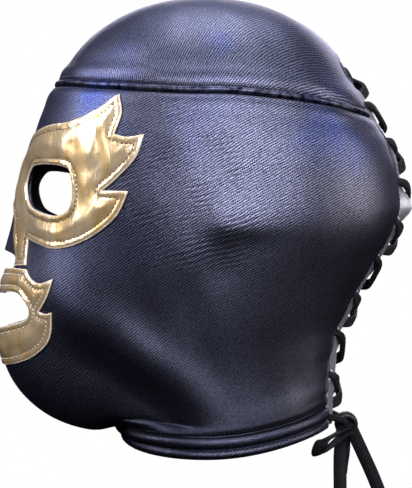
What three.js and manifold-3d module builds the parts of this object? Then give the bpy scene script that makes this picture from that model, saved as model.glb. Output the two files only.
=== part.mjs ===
// A wrestler's hood mask: a sewn cloth hood with gold facings that laces up at the back.
// Millimetres. +Z is up, the face looks along -Y, and +X is the wearer's left.
// The origin is the inside of the crown, where the hood sits on the head.
import * as THREE from "three";
import { mergeVertices } from "three/addons/utils/BufferGeometryUtils.js";
import Module from "manifold-3d";

const wasm = await Module();
wasm.setup();

// Hood
const HOOD_DEPTH = 220; // front to back, over the cheeks
const HOOD_WIDTH = 164; // ear to ear
const HOOD_HEIGHT = 244; // top of the crown to the hem at the sides
const CLOTH_RUN = 1.35; // way down the cloth from crown to hem for each mm of that height
const CLOTH = 1.5; // satin with its backing
const GAP = 0.3; // clearance between sewn pieces

// Nose ridge that the panels are darted over
const NOSE_RISE = 7.5; // how far the ridge stands out at the tip
const BRIDGE_HALF = 7.5; // half width of the ridge at the eyes
const WING_HALF = 13; // half width of the ridge at the tip
const NOSE_TOP = 0.277; // where the ridge starts, tip and base: shares of the height
const NOSE_TIP = 0.555;
const NOSE_BASE = 0.588;

// Seams, facings and neck band
const SEAM_LEVEL = 0.291; // crown seam
const BAND_LEVEL = 0.964; // top of the neck band
const CHIN_LEVEL = 0.9; // below it the front of the cloth runs up again under the chin
const SEAM_OPEN = 0.5; // daylight between two panels at a seam
const PIPING_WIDTH = 3.8;
const PIPING_HEIGHT = 2.2;
const FACING = 1.0; // gold vinyl
const BAND_STAND = 2.4; // how far the band's ridges stand out

// Slit, lacing strips and lace
const SLIT_HALF = 22; // half width between the cloth edges
const SLIT_TOP = 31.5; // top of the slit below the top of the crown
const SLIT_ARCH = 13; // height of its rounded top
const BACK_LEVEL = 0.18; // a loop above the slit, from which the back is measured
const STRIP_START = 1; // top of the strips below the top of the slit
const STRIP_WIDTH = 16; // a strip's width, its hidden margin included
const STRIP_TUCK = 5; // margin sewn under the cloth
const STRIP_BEND = 1; // the strip stays flat until this far past the edge of the cloth
const STRIP_THICK = 1.2;
const STRIP_STEP = 11; // length of a strip between two of its sections
const STRIP_DEPTH = 0.9; // air between the cloth and the margin under it
const STRIP_LIFT = 0.7; // the lace pulls the free edge this far out of the hood's surface
const FLARE_LIFT = 5.5; // and this much more where the left strip's edge stands off
const FLARE_LENGTH = 6.5;
const FLARE_HOLE = 3; // the hole above the place that stands off
const FLARE_BELOW = 13.5;
const HOLE_PAIRS = 10;
const HOLE_FIRST = 8; // first hole below the top of the strips
const HOLE_LAST = 5.2; // last hole above their lower end
const HOLE_RADIUS = 2.4;
const HOLE_SIDES = 6;
const HOLE_INSET = 5.5; // hole centre to the strip's free edge
const PUNCH_HALF = 5; // half the length of the punch that makes the holes
const LACE_WIDTH = 6; // drawn tight
const LACE_LOOSE = 7.2; // and where nothing pulls it narrow
const LACE_THICK = 2;
const LACE_PINCHED = 3.4; // width of the lace where it passes through a hole
const LACE_SLACK = 0.8; // spare height where the lace bends over an edge

// The hood's surface, one row for each loop round the head from the crown down to the hem.
// level: place of the loop down the cloth. drop: how far it lies below the top of the crown,
// as a share of the height. front, back: its reach as a share of half the depth.
// side: its reach as a share of half the width. round: 2 is an ellipse, more is squarer.
const LOOP_COLUMNS = [
  "level", "dropFront", "dropSide", "dropBack", "front", "side", "back", "roundFront", "roundBack",
];
const LOOPS = [
  [0.000, 0.000, 0.000, 0.000, 0.000, 0.000, 0.000, 2.00, 2.00],
  [0.082, 0.018, 0.018, 0.018, 0.291, 0.335, 0.273, 2.00, 2.00],
  [0.142, 0.055, 0.057, 0.059, 0.477, 0.558, 0.482, 2.00, 2.05],
  [0.200, 0.105, 0.115, 0.125, 0.609, 0.738, 0.643, 2.00, 2.10],
  [0.291, 0.194, 0.232, 0.268, 0.745, 0.908, 0.823, 2.05, 2.15],
  [0.358, 0.277, 0.307, 0.334, 0.836, 0.974, 0.909, 2.00, 2.20],
  [0.436, 0.383, 0.404, 0.420, 0.886, 0.994, 0.955, 1.92, 2.25],
  [0.506, 0.477, 0.490, 0.498, 0.905, 0.994, 0.950, 1.88, 2.25],
  [0.570, 0.564, 0.570, 0.572, 0.945, 0.970, 0.864, 1.85, 2.20],
  [0.618, 0.629, 0.629, 0.629, 1.009, 0.933, 0.785, 1.82, 2.15],
  [0.667, 0.695, 0.691, 0.686, 1.021, 0.890, 0.720, 1.80, 2.10],
  [0.715, 0.760, 0.748, 0.736, 1.025, 0.848, 0.667, 1.78, 2.10],
  [0.758, 0.818, 0.797, 0.777, 1.005, 0.811, 0.645, 1.78, 2.10],
  [0.800, 0.875, 0.844, 0.809, 0.936, 0.780, 0.636, 1.80, 2.10],
  [0.845, 0.924, 0.883, 0.836, 0.818, 0.762, 0.633, 1.85, 2.10],
  [0.891, 0.954, 0.914, 0.859, 0.682, 0.754, 0.629, 1.90, 2.10],
  [0.933, 0.958, 0.936, 0.879, 0.545, 0.748, 0.626, 2.00, 2.10],
  [0.964, 0.948, 0.953, 0.902, 0.455, 0.744, 0.622, 2.05, 2.10],
  [1.000, 0.984, 1.000, 0.949, 0.395, 0.744, 0.618, 2.05, 2.10],
];

// Outlines on the left half of the hood: turn is in degrees from the centre front, drop is a
// share of the height, and corner 1 is a sharp point. A half outline is mirrored to a whole one.
const EYE_OPENING = [
  [11.2, 0.418, 0], [15.8, 0.385, 0], [22.0, 0.379, 0], [29.2, 0.381, 0], [35.0, 0.386, 0],
  [38.5, 0.397, 0], [40.0, 0.434, 0], [39.5, 0.466, 0], [36.8, 0.484, 0], [30.8, 0.490, 0],
  [21.5, 0.478, 0], [15.0, 0.460, 0],
];
const NOSE_OPENING = [
  [0, 0.569, 0], [4.5, 0.571, 0], [8.5, 0.579, 0], [10.6, 0.591, 0], [9.0, 0.602, 0], [0, 0.604, 0],
];
const MOUTH_OPENING = [
  [0, 0.660, 0], [7, 0.656, 0], [16, 0.655, 0], [19.5, 0.668, 0], [21.8, 0.690, 0],
  [20.5, 0.711, 0], [14.5, 0.724, 0], [5, 0.736, 0], [0, 0.738, 0],
];
const EYE_FACING = [
  [0, 0.326, 0], [14, 0.306, 0], [26, 0.296, 0], [37, 0.293, 0], [47, 0.275, 0], [57, 0.242, 1],
  [59, 0.282, 0], [57, 0.324, 1], [62, 0.331, 0], [68, 0.326, 1], [65, 0.374, 0], [58, 0.416, 0],
  [52.5, 0.440, 1], [62.5, 0.442, 1], [58, 0.492, 0], [49.5, 0.530, 0],
  [41, 0.552, 0], [32, 0.560, 0], [24, 0.550, 0], [17, 0.538, 1], [18, 0.566, 0], [19.5, 0.596, 1],
  [12.8, 0.598, 1], [8.8, 0.560, 0], [6.2, 0.528, 0], [4.2, 0.490, 0], [0, 0.458, 0],
];
const MOUTH_FACING = [
  [0, 0.595, 0], [12.4, 0.603, 1], [20.2, 0.605, 1], [23.5, 0.626, 0], [27.5, 0.634, 0],
  [33, 0.624, 1], [30.5, 0.660, 0], [26, 0.694, 1], [28.5, 0.698, 0], [31.5, 0.694, 1],
  [29, 0.744, 0], [25, 0.776, 0], [18.5, 0.800, 0], [10, 0.814, 0], [0, 0.819, 0],
];
const OUTLINE_STEPS = 2; // steps of the curve between two points of an outline
const CUTTER_INNER = 25; // the cutters reach from inside the hood to well outside it
const CUTTER_NEAR = 10; // and follow their outline closely this far to each side of the cloth
const CUTTER_OUTER = 1.6 * HOOD_DEPTH;

// Neck band across its height: down is a share of its height, stand a share of BAND_STAND
const BAND_PROFILE = [
  [0.00, 0.30], [0.20, 0.95], [0.46, 1.00], [0.63, 0.30], [0.83, 1.00], [1.00, 0.40],
];

// Grids that the sewn pieces share, so that pieces on top of each other keep their gap
const HALF_TURNS = [
  0, 0.03, 0.06, 0.1, 0.15, 0.21, 0.28, 0.36, 0.44, 0.52, 0.61, 0.7, 0.79, 0.88, 0.96, 1,
];
const CROWN_LEVELS = [0.045, 0.095, 0.145, 0.195, 0.245];
const SIDE_LEVELS = [
  0.33, 0.38, 0.43, 0.475, 0.515, 0.545, 0.568, 0.59, 0.63, 0.68, 0.73, 0.785, 0.84, 0.89, 0.93,
];

const rad = THREE.MathUtils.degToRad;
const crownTop = CLOTH; // outside of the cloth above the origin
const heightAt = (drop) => crownTop - drop * HOOD_HEIGHT;

// A natural cubic spline through values at rising places
function naturalSpline(places, values) {
  const last = places.length - 1;
  const bend = new Array(last + 1).fill(0);
  const carry = new Array(last + 1).fill(0);
  for (let i = 1; i < last; i++) {
    const before = places[i] - places[i - 1];
    const after = places[i + 1] - places[i];
    const slopes = (values[i + 1] - values[i]) / after - (values[i] - values[i - 1]) / before;
    const pivot = 2 * (before + after) - before * carry[i - 1];
    carry[i] = after / pivot;
    bend[i] = (6 * slopes - before * bend[i - 1]) / pivot;
  }
  for (let i = last - 1; i > 0; i--) {
    bend[i] -= carry[i] * bend[i + 1];
  }
  return (place) => {
    let i = 0;
    while (i < last - 1 && place > places[i + 1]) {
      i += 1;
    }
    const step = places[i + 1] - places[i];
    const a = (places[i + 1] - place) / step;
    const b = (place - places[i]) / step;
    const curve = ((a ** 3 - a) * bend[i] + (b ** 3 - b) * bend[i + 1]) * step * step / 6;
    return a * values[i] + b * values[i + 1] + curve;
  };
}

// The table is mirrored over the crown, where a reach changes its sign, so the top is smooth
const GHOSTS = 3;
function columnSpline(name) {
  const column = LOOP_COLUMNS.indexOf(name);
  const sign = ["front", "side", "back"].includes(name) ? -1 : 1;
  const ghosts = LOOPS.slice(1, GHOSTS + 1).reverse();
  const places = [...ghosts.map((row) => -row[0]), ...LOOPS.map((row) => row[0])];
  const values = [...ghosts.map((row) => sign * row[column]), ...LOOPS.map((row) => row[column])];
  return naturalSpline(places, values);
}
const loop = Object.fromEntries(LOOP_COLUMNS.slice(1).map((name) => [name, columnSpline(name)]));

function noseRidge(x, z) {
  const down = THREE.MathUtils.smoothstep(z, heightAt(NOSE_TIP), heightAt(NOSE_TOP));
  const under = THREE.MathUtils.smoothstep(z, heightAt(NOSE_BASE), heightAt(NOSE_TIP));
  const half = BRIDGE_HALF + (WING_HALF - BRIDGE_HALF) * (1 - down);
  return NOSE_RISE * (1 - down) * under * Math.exp(-((x / half) ** 2));
}

// A point on the outside of the cloth, at a turn from the centre front and a level down it
function onCloth(turn, level) {
  const front = Math.cos(turn) >= 0;
  const along = Math.abs(Math.cos(turn));
  const across = Math.abs(Math.sin(turn));
  const reach = (front ? loop.front(level) : loop.back(level)) * HOOD_DEPTH / 2;
  const side = loop.side(level) * HOOD_WIDTH / 2;
  const power = front ? loop.roundFront(level) : loop.roundBack(level);
  const radius = ((across / side) ** power + (along / reach) ** power) ** (-1 / power);
  const dropSide = loop.dropSide(level);
  const dropEnd = front ? loop.dropFront(level) : loop.dropBack(level);
  const z = heightAt(dropSide + (dropEnd - dropSide) * along * along);
  const x = radius * Math.sin(turn);
  const y = -radius * Math.cos(turn) - (front ? noseRidge(x, z) : 0);
  return new THREE.Vector3(x, y, z);
}

function clothNormal(turn, level) {
  const alongTurn = onCloth(turn + 1e-3, level).sub(onCloth(turn - 1e-3, level));
  const alongLevel = onCloth(turn, level + 2e-4).sub(onCloth(turn, level - 2e-4));
  return alongLevel.cross(alongTurn).normalize();
}

const offCloth = (turn, level, offset) =>
  onCloth(turn, level).addScaledVector(clothNormal(turn, level), offset);

// The turn, past the ear, at which a loop is this far from the middle of the back
function turnAtBack(x, level) {
  let low = Math.PI / 2;
  let high = Math.PI;
  for (let i = 0; i < 40; i++) {
    const middle = (low + high) / 2;
    if (onCloth(middle, level).x > x) {
      low = middle;
    } else {
      high = middle;
    }
  }
  return (low + high) / 2;
}

// The point of the cloth at a turn and a height
function clothAtHeight(turn, z) {
  let low = 0;
  let high = CHIN_LEVEL;
  for (let i = 0; i < 30; i++) {
    const middle = (low + high) / 2;
    if (onCloth(turn, middle).z > z) {
      low = middle;
    } else {
      high = middle;
    }
  }
  return onCloth(turn, low);
}

// A share of the way from the centre front (0) to the slit's edge on the left (1) or right (-1)
const slitTurn = (level) => turnAtBack(SLIT_HALF, Math.max(level, SEAM_LEVEL));
const turnAt = (share, level) => share * slitTurn(level);

// Closed meshes
function meshGeometry(points, triangles) {
  const geometry = new THREE.BufferGeometry().setFromPoints(points);
  geometry.setIndex(triangles);
  return geometry;
}

function flipped(geometry) {
  const index = geometry.index.array;
  for (let i = 0; i < index.length; i += 3) {
    [index[i], index[i + 1]] = [index[i + 1], index[i]];
  }
  return geometry;
}

// A wall over a grid of rows and columns: point(row, column, side), side 0 outside, 1 inside
function wall(rows, columns, point) {
  const points = [];
  const triangles = [];
  const at = (side, row, column) => (side * rows + row) * columns + column;
  for (const side of [0, 1]) {
    for (let row = 0; row < rows; row++) {
      for (let column = 0; column < columns; column++) {
        points.push(point(row, column, side));
      }
    }
  }
  const quad = (a, b, c, d) => triangles.push(a, b, c, a, c, d);
  const foot = rows - 1;
  const edge = columns - 1;
  for (let r = 0; r < foot; r++) {
    for (let c = 0; c < edge; c++) {
      quad(at(0, r, c), at(0, r + 1, c), at(0, r + 1, c + 1), at(0, r, c + 1));
      quad(at(1, r, c + 1), at(1, r + 1, c + 1), at(1, r + 1, c), at(1, r, c));
    }
  }
  for (let r = 0; r < foot; r++) {
    quad(at(1, r, 0), at(1, r + 1, 0), at(0, r + 1, 0), at(0, r, 0));
    quad(at(0, r, edge), at(0, r + 1, edge), at(1, r + 1, edge), at(1, r, edge));
  }
  for (let c = 0; c < edge; c++) {
    quad(at(0, 0, c), at(0, 0, c + 1), at(1, 0, c + 1), at(1, 0, c));
    quad(at(1, foot, c), at(1, foot, c + 1), at(0, foot, c + 1), at(0, foot, c));
  }
  return meshGeometry(points, triangles);
}

// A tube with a flat section through a list of { point, width, across }
const SIX_SIDES = [[1, 0], [0.7, 1], [-0.7, 1], [-1, 0], [-0.7, -1], [0.7, -1]];
const EIGHT_SIDES = [
  [1, 0.4], [0.7, 1], [-0.7, 1], [-1, 0.4], [-1, -0.4], [-0.7, -1], [0.7, -1], [1, -0.4],
];
function flatTube(stations, thick, section) {
  const points = [];
  const triangles = [];
  const sides = section.length;
  const last = stations.length - 1;
  stations.forEach(({ point, width, across }, i) => {
    const before = stations[Math.max(i - 1, 0)].point;
    const after = stations[Math.min(i + 1, last)].point;
    const ahead = after.clone().sub(before).normalize();
    const wide = across.clone().addScaledVector(ahead, -across.dot(ahead)).normalize();
    const flat = ahead.clone().cross(wide);
    for (const [u, v] of section) {
      const corner = point.clone().addScaledVector(wide, u * width / 2);
      points.push(corner.addScaledVector(flat, v * thick / 2));
    }
  });
  for (let i = 0; i < last; i++) {
    for (let k = 0; k < sides; k++) {
      const next = i * sides + (k + 1) % sides;
      const here = i * sides + k;
      triangles.push(here, next, next + sides, here, next + sides, here + sides);
    }
  }
  for (let k = 1; k < sides - 1; k++) {
    triangles.push(0, k + 1, k, last * sides, last * sides + k, last * sides + k + 1);
  }
  return meshGeometry(points, triangles);
}

// Joins and cuts
function solid(geometry) {
  const plain = geometry.clone();
  plain.deleteAttribute("normal");
  plain.deleteAttribute("uv");
  const merged = mergeVertices(plain, 1e-5);
  const vertProperties = new Float32Array(merged.attributes.position.array);
  const triVerts = new Uint32Array(merged.index.array);
  return new wasm.Manifold(new wasm.Mesh({ numProp: 3, vertProperties, triVerts }));
}

function geometryOf(manifold) {
  const mesh = manifold.getMesh();
  const geometry = new THREE.BufferGeometry();
  geometry.setAttribute("position", new THREE.BufferAttribute(mesh.vertProperties, 3));
  geometry.setIndex(new THREE.BufferAttribute(mesh.triVerts, 1));
  return geometry;
}

// A table of [turn, drop, corner] as a curve: smooth between its corners
function outlineCurve(table, closed) {
  const count = table.length;
  const points = [];
  const spans = closed ? count : count - 1;
  const place = (i) => (closed ? (i + count) % count : Math.min(Math.max(i, 0), count - 1));
  const row = (i) => table[place(i)];
  for (let i = 0; i < spans; i++) {
    const [from, to] = [row(i), row(i + 1)];
    const before = from[2] ? from : row(i - 1);
    const after = to[2] ? to : row(i + 2);
    for (let step = 0; step < OUTLINE_STEPS; step++) {
      const t = step / OUTLINE_STEPS;
      const blend = (k) => 0.5 * (2 * from[k] + (to[k] - before[k]) * t
        + (2 * before[k] - 5 * from[k] + 4 * to[k] - after[k]) * t * t
        + (3 * from[k] - before[k] - 3 * to[k] + after[k]) * t ** 3);
      points.push(new THREE.Vector2(blend(0), blend(1)));
    }
  }
  if (!closed) {
    const end = row(count - 1);
    points.push(new THREE.Vector2(end[0], end[1]));
  }
  return points;
}

const mirrored = (points) => points.map((p) => new THREE.Vector2(-p.x, p.y)).reverse();
const wholeOutline = (table) => {
  const half = outlineCurve(table, false);
  return [...half, ...mirrored(half).slice(1, -1)];
};

// A wedge that fans out from the hood's axis through an outline
function cutter(outline) {
  const flat = THREE.ShapeUtils.isClockWise(outline) ? [...outline].reverse() : outline;
  const count = flat.length;
  const rings = [[], [], [], []];
  for (const { x, y } of flat) {
    const turn = rad(x);
    const z = heightAt(y);
    const cloth = clothAtHeight(turn, z);
    const near = Math.hypot(cloth.x, cloth.y);
    const radii = [CUTTER_OUTER, near + CUTTER_NEAR, near - CUTTER_NEAR, CUTTER_INNER];
    radii.forEach((radius, ring) => {
      rings[ring].push(new THREE.Vector3(radius * Math.sin(turn), -radius * Math.cos(turn), z));
    });
  }
  const triangles = [];
  const back = 3 * count;
  for (const [a, b, c] of THREE.ShapeUtils.triangulateShape(flat, [])) {
    triangles.push(a, c, b, back + a, back + b, back + c);
  }
  for (let corner = 0; corner < back; corner++) {
    const next = corner % count === count - 1 ? corner + 1 - count : corner + 1;
    triangles.push(corner, next, next + count, corner, next + count, corner + count);
  }
  return solid(meshGeometry(rings.flat(), triangles));
}

const eyeCutters = [
  cutter(outlineCurve(EYE_OPENING, true)),
  cutter(mirrored(outlineCurve(EYE_OPENING, true))),
];
const noseCutter = cutter(wholeOutline(NOSE_OPENING));
const mouthCutter = cutter(wholeOutline(MOUTH_OPENING));

// Panels: the crown is a cap over the whole head, the sides are mirror images
const levelStep = 1 / (CLOTH_RUN * HOOD_HEIGHT); // one millimetre down the cloth, as a level
const seamHalf = SEAM_OPEN / 2 * levelStep;
const fullTurns = [...HALF_TURNS.slice(1).map((share) => -share).reverse(), ...HALF_TURNS];

function crownPanel() {
  const turns = [...fullTurns.map((share) => turnAt(share, SEAM_LEVEL)), Math.PI];
  const levels = [...CROWN_LEVELS, SEAM_LEVEL - seamHalf];
  const points = [];
  const triangles = [];
  const round = turns.length;
  const at = (side, row, column) => (side * levels.length + row) * round + column % round;
  for (const offset of [0, -CLOTH]) {
    for (const level of levels) {
      points.push(...turns.map((turn) => offCloth(turn, level, offset)));
    }
  }
  const poles = [points.length, points.length + 1];
  points.push(new THREE.Vector3(0, 0, crownTop), new THREE.Vector3(0, 0, crownTop - CLOTH));
  const last = levels.length - 1;
  for (let c = 0; c < round; c++) {
    triangles.push(poles[0], at(0, 0, c), at(0, 0, c + 1), poles[1], at(1, 0, c + 1), at(1, 0, c));
    for (let r = 0; r < last; r++) {
      const [a, b, d, e] = [at(0, r, c), at(0, r + 1, c), at(0, r + 1, c + 1), at(0, r, c + 1)];
      const [f, g, h, k] = [at(1, r, c), at(1, r + 1, c), at(1, r + 1, c + 1), at(1, r, c + 1)];
      triangles.push(a, b, d, a, d, e, k, h, g, k, g, f);
    }
    triangles.push(at(1, last, c), at(1, last, c + 1), at(0, last, c + 1));
    triangles.push(at(1, last, c), at(0, last, c + 1), at(0, last, c));
  }
  const slit = new THREE.Shape();
  const archFoot = heightAt(0) - SLIT_TOP - SLIT_ARCH;
  slit.moveTo(-SLIT_HALF, archFoot - HOOD_HEIGHT / 2);
  slit.lineTo(SLIT_HALF, archFoot - HOOD_HEIGHT / 2);
  slit.lineTo(SLIT_HALF, archFoot);
  slit.absellipse(0, archFoot, SLIT_HALF, SLIT_ARCH, 0, Math.PI, false, 0);
  slit.closePath();
  const extent = { depth: HOOD_DEPTH, bevelEnabled: false, curveSegments: 6 };
  const slot = new THREE.ExtrudeGeometry(slit, extent);
  slot.rotateX(Math.PI / 2).translate(0, HOOD_DEPTH + CUTTER_INNER, 0);
  return geometryOf(solid(meshGeometry(points, triangles)).subtract(solid(slot)));
}

function sidePanel(mirror) {
  const levels = [SEAM_LEVEL + seamHalf, ...SIDE_LEVELS, BAND_LEVEL - seamHalf];
  const frontGap = SEAM_OPEN / 2;
  const geometry = wall(levels.length, HALF_TURNS.length, (row, column, side) => {
    const share = HALF_TURNS[column];
    const point = offCloth(turnAt(share, levels[row]), levels[row], -CLOTH * side);
    point.x = column === 0 ? frontGap : point.x;
    point.x *= mirror;
    return point;
  });
  let panel = solid(mirror > 0 ? geometry : flipped(geometry));
  for (const opening of [...eyeCutters, noseCutter, mouthCutter]) {
    panel = panel.subtract(opening);
  }
  return geometryOf(panel);
}

// A ridge or facing on top of the panels, over part of the shared grid
function overlay(shares, levels, outer, inner) {
  return wall(levels.length, shares.length, (row, column, side) => {
    const turn = turnAt(shares[column], levels[row]);
    return offCloth(turn, levels[row], side ? inner(row) : outer(row));
  });
}

function crownPiping() {
  const half = PIPING_WIDTH / 2 * levelStep;
  const levels = [SEAM_LEVEL - half, SEAM_LEVEL, SEAM_LEVEL + half];
  const stand = [0.4, 1, 0.4];
  return overlay(fullTurns, levels, (row) => PIPING_HEIGHT * stand[row], () => GAP);
}

function neckBand() {
  const top = BAND_LEVEL + seamHalf;
  const levels = BAND_PROFILE.map(([down]) => top + down * (1 - top));
  return overlay(fullTurns, levels, (row) => BAND_STAND * BAND_PROFILE[row][1], () => -CLOTH);
}

// A facing is cut from a sheet that spans these shares and levels of the shared grid
function facing(outline, widest, from, to, openings) {
  const shares = fullTurns.filter((share) => Math.abs(share) <= widest);
  const levels = [SEAM_LEVEL + seamHalf, ...SIDE_LEVELS].filter((level) => level > from && level < to);
  const sheet = overlay(shares, levels, () => GAP + FACING, () => GAP);
  let piece = solid(sheet).intersect(cutter(wholeOutline(outline)));
  for (const opening of openings) {
    piece = piece.subtract(opening);
  }
  return geometryOf(piece);
}

const eyeSurround = () => facing(EYE_FACING, 0.48, SEAM_LEVEL, 0.62, [...eyeCutters, noseCutter]);
const mouthSurround = () => facing(MOUTH_FACING, 0.25, 0.56, 0.8, [noseCutter, mouthCutter]);

// The way down the middle of the back: level at a distance from the top of the strips
const BACK_STEPS = 240;
const backShares = Array.from({ length: BACK_STEPS + 1 }, (_, i) => i / BACK_STEPS);
const backLevels = backShares.map((share) => BACK_LEVEL + (1 - BACK_LEVEL) * share);
const backPoints = backLevels.map((level) => onCloth(Math.PI, level));
const stripTop = heightAt(0) - SLIT_TOP - STRIP_START;
const backDistances = backPoints.map(() => 0);
for (let i = 1; i < backPoints.length; i++) {
  backDistances[i] = backDistances[i - 1] + backPoints[i].distanceTo(backPoints[i - 1]);
}
const interpolate = (from, to, value) => {
  let i = 0;
  while (i < from.length - 2 && value > from[i + 1]) {
    i += 1;
  }
  const share = (value - from[i]) / (from[i + 1] - from[i]);
  return to[i] + (to[i + 1] - to[i]) * share;
};
const startDistance = interpolate(backPoints.map((p) => -p.z), backDistances, -stripTop);
const backLength = backDistances[backDistances.length - 1] - startDistance;
const backLevel = (distance) => interpolate(backDistances, backLevels, distance + startDistance);
const holePitch = (backLength - HOLE_FIRST - HOLE_LAST) / (HOLE_PAIRS - 1);
const holeDistance = (k) => HOLE_FIRST + k * holePitch;

// Lacing strips: tucked flat under the cloth, pulled out of the surface at the free edge
const stripFree = SLIT_HALF + STRIP_TUCK - STRIP_WIDTH; // free edge to the middle of the back
const holeX = stripFree + HOLE_INSET;
const flareAt = holeDistance(FLARE_HOLE) + FLARE_BELOW;
const tucked = -(CLOTH + STRIP_DEPTH + STRIP_THICK / 2);
function stripOffset(x, distance) {
  const bend = SLIT_HALF - STRIP_BEND;
  const across = (bend - Math.abs(x)) / (bend - stripFree);
  const out = THREE.MathUtils.clamp(across, 0, 1);
  const open = THREE.MathUtils.smoothstep(distance, SLIT_ARCH, 2 * SLIT_ARCH);
  const flare = Math.exp(-(((distance - flareAt) / FLARE_LENGTH) ** 2)) * out * out;
  return tucked + (STRIP_LIFT - tucked) * out * open + (x > 0 ? FLARE_LIFT * flare : 0);
}
function atBack(x, distance, offset) {
  const level = backLevel(distance);
  const turn = turnAtBack(Math.abs(x), level);
  const point = offCloth(turn, level, offset);
  point.x *= Math.sign(x) || 1;
  return point;
}

function lacingStrip(mirror) {
  const columns = [SLIT_HALF + STRIP_TUCK, SLIT_HALF - STRIP_BEND, holeX, stripFree];
  const rows = Math.round(backLength / STRIP_STEP);
  const geometry = wall(rows + 1, columns.length, (row, column, side) => {
    const distance = backLength * row / rows;
    const x = columns[column];
    const offset = stripOffset(x * mirror, distance) + STRIP_THICK * (0.5 - side);
    return atBack(x * mirror, distance, offset);
  });
  let strip = solid(mirror > 0 ? geometry : flipped(geometry));
  for (let k = 0; k < HOLE_PAIRS; k++) {
    const distance = holeDistance(k);
    const offset = stripOffset(holeX * mirror, distance);
    const outside = atBack(holeX * mirror, distance, offset + PUNCH_HALF);
    const inside = atBack(holeX * mirror, distance, offset - PUNCH_HALF);
    const punch = new THREE.CylinderGeometry(HOLE_RADIUS, HOLE_RADIUS, 2 * PUNCH_HALF, HOLE_SIDES);
    const along = outside.clone().sub(inside).normalize();
    const upright = new THREE.Vector3(0, 1, 0);
    punch.applyQuaternion(new THREE.Quaternion().setFromUnitVectors(upright, along));
    punch.translate(...outside.add(inside).multiplyScalar(0.5));
    strip = strip.subtract(solid(punch));
  }
  return geometryOf(strip);
}

// The lace: it comes up through a hole, crosses over to the other strip, dives under that
// strip's edge and comes up through the next hole. One half always crosses over the other.
const laceClear = STRIP_THICK / 2 + GAP + LACE_THICK / 2;
const overCross = STRIP_LIFT + laceClear + LACE_SLACK + LACE_THICK; // height of the upper lace

function laceStation(x, distance, offset, width = LACE_WIDTH) {
  const down = atBack(Math.abs(x), distance + 1, 0).sub(atBack(Math.abs(x), distance - 1, 0));
  down.x = 0;
  return { point: atBack(x, distance, offset), width, across: down.normalize() };
}

// From the outside of a hole on one side to the outside of the next hole on the other side
function laceCross(side, k, over) {
  const slope = holePitch / (2 * holeX);
  const half = LACE_WIDTH / 2;
  const down = (x) => holeDistance(k) + (holeX - x) * slope;
  const strip = (x, spare = 0) => stripOffset(x * side, down(x) + spare);
  const station = (x, offset, width) => laceStation(x * side, down(x), offset, width);
  const passed = -half / Math.sin(Math.atan(slope)); // where the upper lace has cleared the lower
  const edge = (x, limit) => limit(strip(x, -half), strip(x), strip(x, half));
  return [
    station(stripFree, edge(stripFree, Math.max) + laceClear + LACE_SLACK),
    ...(over ? [station(passed, overCross)] : []),
    station(LACE_SLACK - stripFree, edge(-stripFree, Math.min) - laceClear - LACE_THICK),
    station(-holeX, strip(-holeX) - laceClear - GAP, LACE_PINCHED),
    station(-holeX, strip(-holeX) + laceClear + GAP, LACE_PINCHED),
  ];
}

// The knot of the bow sits on the back, between the ends of the strips
const KNOT_HALF = new THREE.Vector3(8.5, 6, 6.5);
const KNOT_BELOW = 1.5; // centre of the knot below the hem at the middle of the back
const backHem = onCloth(Math.PI, 1);
const knotOut = STRIP_LIFT + STRIP_THICK + GAP + LACE_SLACK + KNOT_HALF.y; // off the cloth
const knot = new THREE.Vector3(0, backHem.y + knotOut, backHem.z - KNOT_BELOW);

function lace() {
  const half = (side, over) => {
    const stations = [];
    for (let k = 0; k < HOLE_PAIRS - 1; k++) {
      stations.push(...laceCross(k % 2 ? -side : side, k, over));
    }
    const lastSide = (HOLE_PAIRS - 1) % 2 ? -side : side;
    const toKnot = new THREE.Vector3(lastSide * (KNOT_HALF.x + LACE_SLACK), 0, KNOT_HALF.z / 4);
    const across = new THREE.Vector3(0, 0, -1);
    stations.push({ point: toKnot.add(knot), width: LACE_PINCHED, across });
    return stations;
  };
  const first = holeDistance(0);
  const out = stripOffset(holeX, first) + laceClear + GAP;
  const into = stripOffset(holeX, first) - laceClear - GAP;
  const top = [
    laceStation(holeX, first, out, LACE_PINCHED),
    laceStation(holeX, first, into, LACE_PINCHED),
    laceStation(0, first, into - GAP),
    laceStation(-holeX, first, into, LACE_PINCHED),
    laceStation(-holeX, first, out, LACE_PINCHED),
  ];
  return flatTube([...half(1, false).reverse(), ...top, ...half(-1, true)], LACE_THICK, SIX_SIDES);
}

// Bow: loops and tails as lists of points from the knot's centre
const LEFT_LOOP = [
  [3, 1, -2], [11, -4, -3], [18, -10, -5], [22, -15, -8],
  [20, -17, -13], [14, -12, -12], [8, -6, -8.5], [2, 0, -4],
];
const RIGHT_LOOP = [
  [-3, 0, -3], [-9, -1, -8], [-13, -2, -17], [-14, -2, -25],
  [-10, -2, -29], [-6, -2, -25], [-4, -1, -16], [-2, -1, -5],
];
const LEFT_TAIL = [
  [0.4, -2.4, -8], [1, -3, -14], [2, -3.5, -22], [3, -3.5, -31], [3.6, -3.5, -40], [4, -3, -48],
];
const RIGHT_TAIL = [
  [2.5, 4.1, -5.3], [2, 7, -11.5], [1.5, 10, -18], [1, 13, -24.5],
  [0.5, 16, -31.5], [0, 18.5, -38], [-0.5, 20.5, -44.5], [-1, 22, -51],
];
const LOOP_STEPS = 10;
const TAIL_STEPS = 9;
const byKnot = ([x, y, z]) => new THREE.Vector3(x, y, z).add(knot);
function ribbon(list, steps, across, section) {
  const spaced = new THREE.CatmullRomCurve3(list.map(byKnot)).getSpacedPoints(steps);
  const stations = spaced.map((point) => ({ point, width: LACE_LOOSE, across }));
  return flatTube(stations, LACE_THICK, section);
}

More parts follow.
